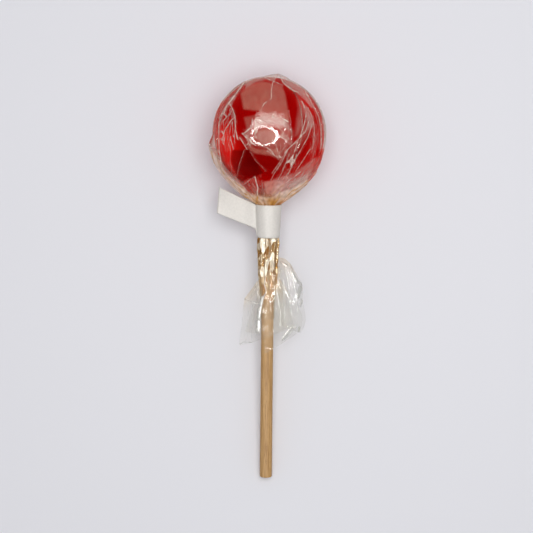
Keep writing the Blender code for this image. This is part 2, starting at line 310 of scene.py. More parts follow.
@dataclass(frozen=True)
class BoiledSugar:
    """Hard boiled sugar, cast: glassy deep red, with shade painted in its middle and glow painted where the
    ball thins.

    Heights and distances are in millimetres, in the row frame.
    """

    # The deep red of the painted shade and the flow marks, the plain red, and the red of the painted glows
    deep: str = "#9A0303"
    middle: str = "#AE0303"
    bright: str = "#FF1812"
    # The middle of the painted shade, in the deep colour, and how far from there it holds and has faded
    painted_shade_middle: tuple[float, float, float] = (-5.0, -13.0, 38.0)
    painted_shade_from: float = 3.0
    painted_shade_to: float = 20.0
    # The heights between which a painted glow brightens the ball downwards
    painted_glow_from: float = 38.0
    painted_glow_to: float = 23.0
    painted_glows: tuple[PaintedGlow, ...] = (
        PaintedGlow((-17.0, -6.0, 30.0), 15.0, 1.0),
        PaintedGlow((17.0, 12.0, 31.0), 13.0, 0.55),
    )
    # How far from its middle a painted glow keeps its strength
    painted_glow_full: float = 4.0
    # The size of the faint marks of flow, and how much they change the colour
    flow_size: float = 14.0
    flow_share: float = 0.5
    roughness: float = 0.05
    ior: float = 1.5

    def fade(
        self, tree: bpy.types.NodeTree, place: bpy.types.NodeSocket,
        middle: tuple[float, float, float], start: float, end: float, most: float = 1.0,
    ) -> bpy.types.NodeSocket:
        """Add nodes whose value changes with the distance from a point of the ball.

        Args:
            tree: The material's node tree.
            place: The socket that gives a place in the row frame, in metres.
            middle: The point.
            start: The distance at which the value is 0.
            end: The distance at which it is at its most.
            most: The value there.

        Returns:
            The socket that gives the value.
        """
        away = add_node(
            tree, "ShaderNodeVectorMath",
            {"operation": "DISTANCE", 1: tuple(part * MM for part in middle)},
            {0: place},
        )
        faded = add_node(
            tree, "ShaderNodeMapRange",
            {"From Min": start * MM, "From Max": end * MM, "To Max": most,
             "interpolation_type": "SMOOTHSTEP"},
            {"Value": away.outputs["Value"]},
        )
        return faded.outputs[0]

    def material(self) -> bpy.types.Material:
        """Make the material of the ball.

        Returns:
            The material.
        """
        material, tree = new_material("boiled_sugar")
        place = add_node(tree, "ShaderNodeTexCoord").outputs["Object"]
        height = add_node(tree, "ShaderNodeSeparateXYZ", links={0: place})
        # Painted glow: the colour brightens lower down the ball
        painted_glow = add_node(
            tree, "ShaderNodeMapRange",
            {"From Min": self.painted_glow_from * MM, "From Max": self.painted_glow_to * MM},
            {"Value": height.outputs["Z"]},
        )
        # Painted shade: darker towards the shade's middle
        depth = self.fade(tree, place, self.painted_shade_middle, self.painted_shade_from, self.painted_shade_to)
        flow = add_node(
            tree, "ShaderNodeTexNoise",
            {"Scale": 1.0 / (self.flow_size * MM), "Detail": 3.0, "Roughness": 0.5, "Distortion": 0.6},
            {"Vector": place},
        )
        shift = add_node(
            tree, "ShaderNodeMath",
            {"operation": "MULTIPLY_ADD", 1: self.flow_share, 2: -0.5 * self.flow_share},
            {0: flow.outputs[0]},
        )
        mixed = add_node(
            tree, "ShaderNodeMath",
            {"operation": "ADD", "use_clamp": True},
            {0: depth, 1: shift.outputs[0]},
        )
        colour = add_node(
            tree, "ShaderNodeValToRGB",
            {"stops": ((0.0, linear(self.deep)), (1.0, linear(self.middle)))},
            {"Fac": mixed.outputs[0]},
        )
        share = painted_glow.outputs[0]
        # Painted glows: brighter colour round each glow's middle
        for glow in self.painted_glows:
            lit = self.fade(tree, place, glow.middle, glow.reach, self.painted_glow_full, glow.strength)
            brighter = add_node(tree, "ShaderNodeMath", {"operation": "MAXIMUM"}, {0: share, 1: lit})
            share = brighter.outputs[0]
        glowing = add_node(
            tree, "ShaderNodeMix",
            {"data_type": "RGBA", 7: linear(self.bright)},
            {0: share, 6: colour.outputs["Color"]},
        )
        sugar = add_node(
            tree, "ShaderNodeBsdfPrincipled",
            {"Roughness": self.roughness, "IOR": self.ior},
            {"Base Color": glowing.outputs[2]},
        )
        finish_material(tree, sugar.outputs[0])
        return material


@dataclass(frozen=True)
class ClearFilm:
    """Cellulose film, cast and clear: each layer mirrors a little; its milky creases and patches are partly
    painted highlights and reflections.
    """

    name: str
    # What one layer, loosely and tightly bunched film or film browned by painted shade, film with a painted
    # red cast from the candy, and film with painted dark reflection let through
    tint: str = "#FEFEFC"
    tan: str = "#FDF3E2"
    amber: str = "#FDDCA2"
    blush: str = "#FDB2AA"
    shade: str = "#D2CCCC"
    # The palest tone of milky film, its tone in painted red light from the candy, and its tone where it is
    # bunched or has painted shade
    white_milk: str = "#FFF8EE"
    candy_lit_milk: str = "#FFB29A"
    gold_milk: str = "#E2A656"
    # The share of gloss in milky film, and how soft that gloss is
    glint: float = 0.05
    glint_roughness: float = 0.35
    # How soft the gloss of clear film is, and how much it mirrors from the front and the side
    roughness: float = 0.025
    face_mirror: float = 0.035
    grazing_mirror: float = 0.35
    grazing_power: float = 5.0
    # The size and the depth of its finest crinkles, in millimetres
    crinkle_size: float = 1.8
    crinkle_depth: float = 0.06
    # How much milk covers where it is thickest, and how thick it is where creases get painted gold shade
    haze_share: float = 0.5
    thick_gain: float = 1.7
    thick_loss: float = 0.9
    # How much creases cover, how suddenly they end, how glossy they are, and how much whiter their painted
    # highlight is
    line_share: float = 0.85
    line_edge: float = 1.5
    line_glint: float = 0.1
    line_whiteness: float = 0.5
    # How wide the fine creases are drawn, how close round the stick, and how long in millimetres
    strand_width: float = 0.024
    strands_round: float = 15.0
    strand_length: float = 11.0

    def fine_line(
        self, tree: bpy.types.NodeTree, gap: bpy.types.NodeSocket, width: float,
        strength: bpy.types.NodeSocket,
    ) -> bpy.types.NodeSocket:
        """Add nodes that show a fine line where a value passes through zero.

        Args:
            tree: The material's node tree.
            gap: The value, such as a distance from the line's middle.
            width: The value at the line's edge.
            strength: How strongly the line shows.

        Returns:
            The socket that gives the line's strength at each place.
        """
        away = add_node(tree, "ShaderNodeMath", {"operation": "ABSOLUTE"}, {0: gap})
        near = add_node(
            tree, "ShaderNodeMath",
            {"operation": "MULTIPLY_ADD", "use_clamp": True,
             1: -self.line_edge / width, 2: self.line_edge},
            {0: away.outputs[0]},
        )
        line = add_node(
            tree, "ShaderNodeMath", {"operation": "MULTIPLY"}, {0: near.outputs[0], 1: strength},
        )
        return line.outputs[0]

    def strand_pattern(self, tree: bpy.types.NodeTree) -> bpy.types.NodeSocket:
        """Add nodes whose value passes through zero along fine creases that run to the neck.

        Args:
            tree: The material's node tree.

        Returns:
            The socket that gives the value.
        """
        place = stick_place(tree)
        spoke = add_node(
            tree, "ShaderNodeMapping",
            {"vector_type": "POINT", "Scale": (1.0, 1.0, 0.0)},
            {"Vector": place},
        )
        turn = add_node(tree, "ShaderNodeVectorMath", {"operation": "NORMALIZE"}, {0: spoke.outputs[0]})
        along = add_node(
            tree, "ShaderNodeMapping",
            {"vector_type": "POINT", "Scale": (0.0, 0.0, 1.0 / (self.strand_length * MM))},
            {"Vector": place},
        )
        fan = add_node(
            tree, "ShaderNodeVectorMath",
            {"operation": "MULTIPLY_ADD", 1: (self.strands_round, self.strands_round, 0.0)},
            {0: turn.outputs[0], 2: along.outputs[0]},
        )
        waves = add_node(
            tree, "ShaderNodeTexNoise",
            {"Scale": 1.0, "Detail": 1.0, "Roughness": 0.4, "Distortion": 0.6},
            {"Vector": fan.outputs[0]},
        )
        middle = add_node(
            tree, "ShaderNodeMath", {"operation": "SUBTRACT", 1: 0.5}, {0: waves.outputs[0]},
        )
        return middle.outputs[0]

    def clear_layer(
        self, tree: bpy.types.NodeTree, sheet: dict[str, bpy.types.NodeSocket],
        bump: bpy.types.NodeSocket,
    ) -> bpy.types.NodeSocket:
        """Add nodes for the film where it is clear: it lets light through and mirrors a little.

        Args:
            tree: The material's node tree.
            sheet: What the sheet stores at each place, by name.
            bump: The normal that its finest crinkles give it.

        Returns:
            The shader's socket.
        """
        clear = add_node(
            tree, "ShaderNodeValToRGB",
            {"stops": ((0.0, linear(self.tint)), (0.45, linear(self.tan)), (1.0, linear(self.amber)))},
            {"Fac": sheet["bunch"]},
        )
        tinted = add_node(
            tree, "ShaderNodeMix",
            {"data_type": "RGBA", "blend_type": "MULTIPLY", 7: linear(self.blush)},
            {0: sheet["blush"], 6: clear.outputs["Color"]},
        )
        darker = add_node(
            tree, "ShaderNodeMix",
            {"data_type": "RGBA", "blend_type": "MULTIPLY", 7: linear(self.shade)},
            {0: sheet["shade"], 6: tinted.outputs[2]},
        )
        through = add_node(tree, "ShaderNodeBsdfTransparent", links={"Color": darker.outputs[2]})
        gloss = add_node(tree, "ShaderNodeBsdfGlossy", {"Roughness": self.roughness}, {"Normal": bump})
        facing = add_node(tree, "ShaderNodeLayerWeight", {"Blend": 0.5}, {"Normal": bump})
        grazing = add_node(
            tree, "ShaderNodeMath",
            {"operation": "POWER", 1: self.grazing_power},
            {0: facing.outputs["Facing"]},
        )
        mirrored = add_node(
            tree, "ShaderNodeMath",
            {"operation": "MULTIPLY_ADD", 1: self.grazing_mirror, 2: self.face_mirror},
            {0: grazing.outputs[0]},
        )
        film = add_node(
            tree, "ShaderNodeMixShader",
            links={0: mirrored.outputs[0], 1: through.outputs[0], 2: gloss.outputs[0]},
        )
        return film.outputs[0]

    def milky_layer(
        self, tree: bpy.types.NodeTree, sheet: dict[str, bpy.types.NodeSocket],
        lines: bpy.types.NodeSocket, bump: bpy.types.NodeSocket,
    ) -> bpy.types.NodeSocket:
        """Add nodes for the film where it is milky: creases in thick film get painted gold shade.

        Args:
            tree: The material's node tree.
            sheet: What the sheet stores at each place, by name.
            lines: How strongly creases show at each place.
            bump: The normal that its finest crinkles give it.

        Returns:
            The shader's socket.
        """
        tone = add_node(
            tree, "ShaderNodeMath",
            {"operation": "MULTIPLY_ADD", "use_clamp": True, 1: -self.line_whiteness},
            {0: lines, 2: sheet["warm"]},
        )
        milk = add_node(
            tree, "ShaderNodeValToRGB",
            {"stops": ((0.0, linear(self.white_milk)), (1.0, linear(self.candy_lit_milk)))},
            {"Fac": tone.outputs[0]},
        )
        thick = add_node(
            tree, "ShaderNodeMath",
            {"operation": "MULTIPLY_ADD", "use_clamp": True, 1: self.thick_gain, 2: -self.thick_loss},
            {0: sheet["haze"]},
        )
        # Painted shade: creases in thick film are drawn gold
        painted_crease_shade = add_node(
            tree, "ShaderNodeMath", {"operation": "MULTIPLY"}, {0: thick.outputs[0], 1: lines},
        )
        gold = add_node(
            tree, "ShaderNodeMath", {"operation": "MAXIMUM"}, {0: sheet["bunch"], 1: painted_crease_shade.outputs[0]},
        )
        golden = add_node(
            tree, "ShaderNodeMix",
            {"data_type": "RGBA", 7: linear(self.gold_milk)},
            {0: gold.outputs[0], 6: milk.outputs["Color"]},
        )
        scatter = add_node(tree, "ShaderNodeBsdfDiffuse", links={"Color": golden.outputs[2]})
        glints = add_node(
            tree, "ShaderNodeBsdfGlossy",
            {"Roughness": self.glint_roughness},
            {"Color": golden.outputs[2], "Normal": bump},
        )
        sparkle = add_node(
            tree, "ShaderNodeMath",
            {"operation": "MULTIPLY_ADD", "use_clamp": True, 1: self.line_glint, 2: self.glint},
            {0: lines},
        )
        milky = add_node(
            tree, "ShaderNodeMixShader",
            links={0: sparkle.outputs[0], 1: scatter.outputs[0], 2: glints.outputs[0]},
        )
        return milky.outputs[0]

    def material(self) -> bpy.types.Material:
        """Make the material of one sheet of film, which reads what the sheet stores at each place.

        Returns:
            The material.
        """
        material, tree = new_material(self.name)
        sheet = {
            look: add_node(tree, "ShaderNodeAttribute", {"attribute_name": look}).outputs["Fac"]
            for look in SHEET_LOOKS
        }
        sharp = self.fine_line(tree, sheet["gap"], 1.0, sheet["line"])
        fine = self.fine_line(tree, self.strand_pattern(tree), self.strand_width, sheet["strand"])
        either = add_node(tree, "ShaderNodeMath", {"operation": "MAXIMUM"}, {0: sharp, 1: fine})
        lines = either.outputs[0]
        place = add_node(tree, "ShaderNodeTexCoord")
        crinkle = add_node(
            tree, "ShaderNodeTexNoise",
            {"Scale": 1.0 / (self.crinkle_size * MM), "Detail": 4.0, "Roughness": 0.6, "Distortion": 1.2},
            {"Vector": place.outputs["Object"]},
        )
        bump = add_node(
            tree, "ShaderNodeBump",
            {"Strength": 0.5, "Distance": self.crinkle_depth * MM},
            {"Height": crinkle.outputs[0]},
        )
        broad = add_node(
            tree, "ShaderNodeMath", {"operation": "MULTIPLY", 1: self.haze_share}, {0: sheet["haze"]},
        )
        narrow = add_node(
            tree, "ShaderNodeMath", {"operation": "MULTIPLY", 1: self.line_share}, {0: lines},
        )
        share = add_node(
            tree, "ShaderNodeMath", {"operation": "MAXIMUM"}, {0: broad.outputs[0], 1: narrow.outputs[0]},
        )
        clear = self.clear_layer(tree, sheet, bump.outputs[0])
        milky = self.milky_layer(tree, sheet, lines, bump.outputs[0])
        whole = add_node(tree, "ShaderNodeMixShader", links={0: share.outputs[0], 1: clear, 2: milky})
        finish_material(tree, whole.outputs[0])
        return material


@dataclass(frozen=True)
class BirchWood:
    """Birch dowel, turned and left bare: pale tan, with fine straight grain and short pores."""

    light: str = "#D6AB72"
    dark: str = "#AC8049"
    pore: str = "#8E6436"
    pore_share: float = 0.7
    roughness: float = 0.55
    # Sizes of the grain and the pores in millimetres, and a depth drawn deeper than real to show
    grain_width: float = 0.5
    grain_length: float = 10.0
    grain_depth: float = 0.08
    pore_width: float = 0.22
    pore_length: float = 2.6

    def streaks(
        self, tree: bpy.types.NodeTree, place: bpy.types.NodeSocket, width: float, length: float,
        grading: dict[str, float],
    ) -> bpy.types.NodeSocket:
        """Add a mottle that is drawn out along the stick.

        Args:
            tree: The material's node tree.
            place: The socket that gives a place in the stick's frame, in metres.
            width: The size of its marks across the stick, in millimetres.
            length: Their size along the stick, in millimetres.
            grading: How fine and how wavy the mottle is, by the socket's name.

        Returns:
            The socket that gives the mottle's value.
        """
        finer = 1.0 / (width * MM)
        drawn = add_node(
            tree, "ShaderNodeMapping",
            {"vector_type": "POINT", "Scale": (finer, finer, 1.0 / (length * MM))},
            {"Vector": place},
        )
        mottle = add_node(
            tree, "ShaderNodeTexNoise", {"Scale": 1.0, **grading}, {"Vector": drawn.outputs[0]},
        )
        return mottle.outputs[0]

    def material(self) -> bpy.types.Material:
        """Make the material of the stick.

        Returns:
            The material.
        """
        material, tree = new_material("birch_dowel_bare")
        place = stick_place(tree)
        grain = self.streaks(
            tree, place, self.grain_width, self.grain_length,
            {"Detail": 4.0, "Roughness": 0.55, "Distortion": 0.4},
        )
        pores = self.streaks(tree, place, self.pore_width, self.pore_length, {"Detail": 2.0})
        colour = add_node(
            tree, "ShaderNodeValToRGB",
            {"stops": ((0.3, linear(self.dark)), (0.72, linear(self.light)))},
            {"Fac": grain},
        )
        dots = add_node(
            tree, "ShaderNodeMapRange",
            {"From Min": 0.6, "From Max": 0.72, "To Max": self.pore_share},
            {"Value": pores},
        )
        flecked = add_node(
            tree, "ShaderNodeMix",
            {"data_type": "RGBA", 7: linear(self.pore)},
            {0: dots.outputs[0], 6: colour.outputs["Color"]},
        )
        bump = add_node(
            tree, "ShaderNodeBump",
            {"Strength": 0.5, "Distance": self.grain_depth * MM},
            {"Height": grain},
        )
        wood = add_node(
            tree, "ShaderNodeBsdfPrincipled",
            {"Roughness": self.roughness, "IOR": 1.45},
            {"Base Color": flecked.outputs[2], "Normal": bump.outputs[0]},
        )
        finish_material(tree, wood.outputs[0])
        return material


@dataclass(frozen=True)
class PaperTape:
    """Coated paper tape, pressed flat: warm white and satin, with a faint fibre mottle."""

    light: str = "#E7E3DB"
    dark: str = "#DEDAD2"
    roughness: float = 0.45
    fibre_size: float = 0.8

    def material(self) -> bpy.types.Material:
        """Make the material of the label.

        Returns:
            The material.
        """
        material, tree = new_material("paper_tape_satin")
        place = add_node(tree, "ShaderNodeTexCoord")
        fibres = add_node(
            tree, "ShaderNodeTexNoise",
            {"Scale": 1.0 / (self.fibre_size * MM), "Detail": 5.0, "Roughness": 0.65},
            {"Vector": place.outputs["Object"]},
        )
        colour = add_node(
            tree, "ShaderNodeValToRGB",
            {"stops": ((0.3, linear(self.dark)), (0.65, linear(self.light)))},
            {"Fac": fibres.outputs[0]},
        )
        bump = add_node(
            tree, "ShaderNodeBump",
            {"Strength": 0.3, "Distance": 0.03 * MM},
            {"Height": fibres.outputs[0]},
        )
        paper = add_node(
            tree, "ShaderNodeBsdfPrincipled",
            {"Roughness": self.roughness, "IOR": 1.5},
            {"Base Color": colour.outputs["Color"], "Normal": bump.outputs[0]},
        )
        finish_material(tree, paper.outputs[0])
        return material


@dataclass(frozen=True)
class PaintedBoard:
    """Painted board under the lollipop: pale, matt and even, so that it takes soft shadows."""

    colour: str = "#ECECF0"
    roughness: float = 0.9

    def material(self) -> bpy.types.Material:
        """Make the material of the floor.

        Returns:
            The material.
        """
        material, tree = new_material("painted_board")
        board = add_node(
            tree, "ShaderNodeBsdfPrincipled",
            {"Base Color": linear(self.colour), "Roughness": self.roughness, "IOR": 1.3},
        )
        finish_material(tree, board.outputs[0])
        return material


# Candy and stick


@dataclass
class Candy:
    """The ball of boiled sugar, with the blind hole that the stick sits in, in millimetres."""

    radius: float = 21.3
    hole_radius: float = STICK_RADIUS + 0.3
    hole_floor: float = -4.7
    segments: int = 128
    rows: int = 64
    # The share of the radius past which a corner lies on the ball's skin
    skin_share: float = 0.9
    dimple_depth: float = 0.05
    dimple_size: float = 9.0

    def profile(self) -> list[Vector]:
        """Work out the half outline, from the far pole round into the hole.

        Returns:
            Its corners in the stick's frame.
        """
        last = math.pi - math.asin(self.hole_radius / self.radius)
        steps = [last * row / self.rows for row in range(self.rows + 1)]
        outline = [Vector((self.radius * math.sin(a), 0.0, -self.radius * math.cos(a))) for a in steps]
        outline.append(Vector((self.hole_radius, 0.0, self.hole_floor)))
        outline.append(Vector((0.0, 0.0, self.hole_floor)))
        return outline

    def build(self) -> bpy.types.Object:
        """Spin the ball and give it the slight unevenness of cast sugar.

        Returns:
            The finished piece.
        """
        bm = spun(self.profile(), self.segments)
        for vert in bm.verts:
            if vert.co.length > self.skin_share * self.radius:
                vert.co *= 1.0 - self.dimple_depth / self.radius * noise.noise(vert.co / self.dimple_size)
        return make_piece("candy_ball", bm, BoiledSugar().material(), Node.CANDY)


@dataclass
class Dowel:
    """The round birch stick, with eased ends and the relief of its grain, in millimetres."""

    radius: float = STICK_RADIUS
    top: float = -4.4
    bottom: float = 135.3
    edge: float = 0.35
    edge_steps: int = 4
    # The inner ring of corners on a flat end, as a share of its radius
    end_ring: float = 0.6
    sides: int = 64
    rows: int = 90
    relief: float = 0.02
    # How fast the grain changes across and along the stick, per millimetre
    grain_across: float = 2.2
    grain_along: float = 0.06

    def profile(self) -> list[Vector]:
        """Work out the half outline from the middle of one end to the middle of the other.

        Returns:
            Its corners in the stick's frame.
        """
        quarter = [math.pi / 2.0 * step / self.edge_steps for step in range(self.edge_steps + 1)]
        inner = self.radius - self.edge
        first = self.top + self.edge
        last = self.bottom - self.edge
        outline = [Vector((0.0, 0.0, self.top)), Vector((self.end_ring * inner, 0.0, self.top))]
        outline += [
            Vector((inner + self.edge * math.sin(a), 0.0, self.top + self.edge * (1.0 - math.cos(a))))
            for a in quarter
        ]
        outline += [
            Vector((self.radius, 0.0, blend(first, last, row / self.rows)))
            for row in range(1, self.rows)
        ]
        outline += [
            Vector((inner + self.edge * math.cos(a), 0.0, last + self.edge * math.sin(a)))
            for a in quarter
        ]
        outline += [Vector((self.end_ring * inner, 0.0, self.bottom)), Vector((0.0, 0.0, self.bottom))]
        return outline

    def build(self) -> bpy.types.Object:
        """Spin the dowel and press the grain into it.

        Returns:
            The finished piece.
        """
        bm = spun(self.profile(), self.sides)
        for vert in bm.verts:
            x, y, z = vert.co
            place = Vector((x * self.grain_across, y * self.grain_across, z * self.grain_along))
            share = 1.0 - self.relief / self.radius * max(noise.noise(place), 0.0)
            vert.co.x *= share
            vert.co.y *= share
        return make_piece("dowel", bm, BirchWood().material(), Node.STICK)


# Film


@dataclass(frozen=True)
class FilmPoint:
    """One place of a sheet of film.

    Attributes:
        place: Where it lies in the stick's frame.
        haze: How milky it is, partly as painted reflection and highlight, from 0 to 1.
        warm: How much painted red light from the candy tints its milk, from 0 for white to 1 for pink.
        bunch: How tightly it is bunched, or how much painted shade browns it, from 0 to 1.
        blush: How strong the painted red cast of the candy beside it is, from 0 to 1.
        shade: How much painted dark reflection darkens what lies under it, from 0 to 1.
        gap: How far the nearest sharp crease is, in halves of its width, minus on its one side.
        line: How strongly that crease shows, from 0 to 1.
        strand: How strongly fine creases show, from 0 to 1.
    """

    place: Vector
    haze: float = 0.0
    warm: float = 0.0
    bunch: float = 0.0
    blush: float = 0.0
    shade: float = 0.0
    gap: float = NO_CREASE
    line: float = 0.0
    strand: float = 0.0


@dataclass(frozen=True)
class Crease:
    """A sharp line pressed into a sheet of film on the shown side, also drawn as a milky line that is partly
    painted highlight.

    Attributes:
        line: Its corners in millimetres, across and along, from the one nearest the far pole.
        rise: How far it stands proud, in millimetres.
        width: Half its width, in millimetres.
        strength: How strongly it shows, from 0 to 1.
    """

    line: tuple[tuple[float, float], ...]
    rise: float
    width: float
    strength: float

    def gap(self, across: float, along: float) -> float:
        """Measure how far a place is from the line.

        Args:
            across: The place's millimetres across.
            along: Its millimetres along the stick.

        Returns:
            The millimetres to the line, minus on its one side, or infinity past its ends.
        """
        if not self.line[0][1] - CREASE_REACH < along < self.line[-1][1] + CREASE_REACH:
            return math.inf
        gaps = []
        for start, end in zip(self.line, self.line[1:]):
            side = (end[0] - start[0]) * (along - start[1]) - (end[1] - start[1]) * (across - start[0])
            gaps.append(math.copysign(gap_to_edge(across, along, start, end), side))
        return min(gaps, key=abs)

    def drawn_width(self) -> float:
        """Return half the width it is drawn with, in millimetres. Fine ones are drawn narrower."""
        return blend(0.65, 0.95, smooth_step((self.width - 0.5) / 0.2)) * self.width


@dataclass(frozen=True)
class FilmPatch:
    """A part of the film over the ball, on the shown side, that is milky or creased, or has painted dark
    reflection or a painted red cast.

    Attributes:
        outline: Its corners in millimetres, across and along.
        haze: How milky it is, partly as painted reflection and highlight, from 0 to 1.
        warm: How much painted red light from the candy tints its milk, from 0 for white to 1 for pink.
        crinkle: How far its creases move the film, in millimetres.
        edge: Over how many millimetres it fades out.
        shade: How much painted dark reflection darkens what lies under it, from 0 to 1.
        taut: How smoothly it is pulled over the candy, from 0 to 1.
        blush: How strong the painted red cast of the candy beside it is, from 0 to 1.
    """

    outline: tuple[tuple[float, float], ...]
    haze: float
    warm: float
    crinkle: float
    edge: float = 0.9
    shade: float = 0.0
    taut: float = 0.0
    blush: float = 0.0

    def share(self, across: float, along: float) -> float:
        """Work out how far inside the patch a place lies.

        Args:
            across: The place's millimetres across.
            along: Its millimetres along the stick.

        Returns:
            1 well inside the patch, 0 well outside it, and the share between them at its edge.
        """
        edges = list(zip(self.outline, self.outline[1:] + self.outline[:1]))
        gap = min(gap_to_edge(across, along, *edge) for edge in edges)
        inside = False
        for start, end in edges:
            if (start[1] > along) != (end[1] > along):
                part = (along - start[1]) / (end[1] - start[1])
                inside ^= across < blend(start[0], end[0], part)
        return smooth_step(0.5 + (gap if inside else -gap) / self.edge)


@dataclass(frozen=True)
class Pleat:
    """A fold of the film over the ball that doubles back on itself along a meridian.

    Attributes:
        angle: Degrees round the stick at the ball's upper half.
        drift: Degrees that it moves by, from the upper half of the ball to the neck.
        width: Degrees that the fold takes up.
        fold: How far the film doubles back. Over 1, three layers lie on each other.
        lift: Millimetres between the layers. Minus folds it the other way round.
    """

    angle: float
    drift: float
    width: float
    fold: float
    lift: float


SHOWN_PLEATS = (
    Pleat(149.0, 10.0, 2.0, 2.0, 0.15),
    Pleat(69.0, -3.0, 1.5, 1.7, 0.12),
    Pleat(52.0, 12.0, 2.0, 2.0, -0.14),
    Pleat(27.0, -16.0, 2.2, 2.0, 0.16),
    Pleat(8.0, -3.0, 2.4, 2.0, -0.18),
    Pleat(168.0, 4.0, 2.4, 2.0, 0.18),
)

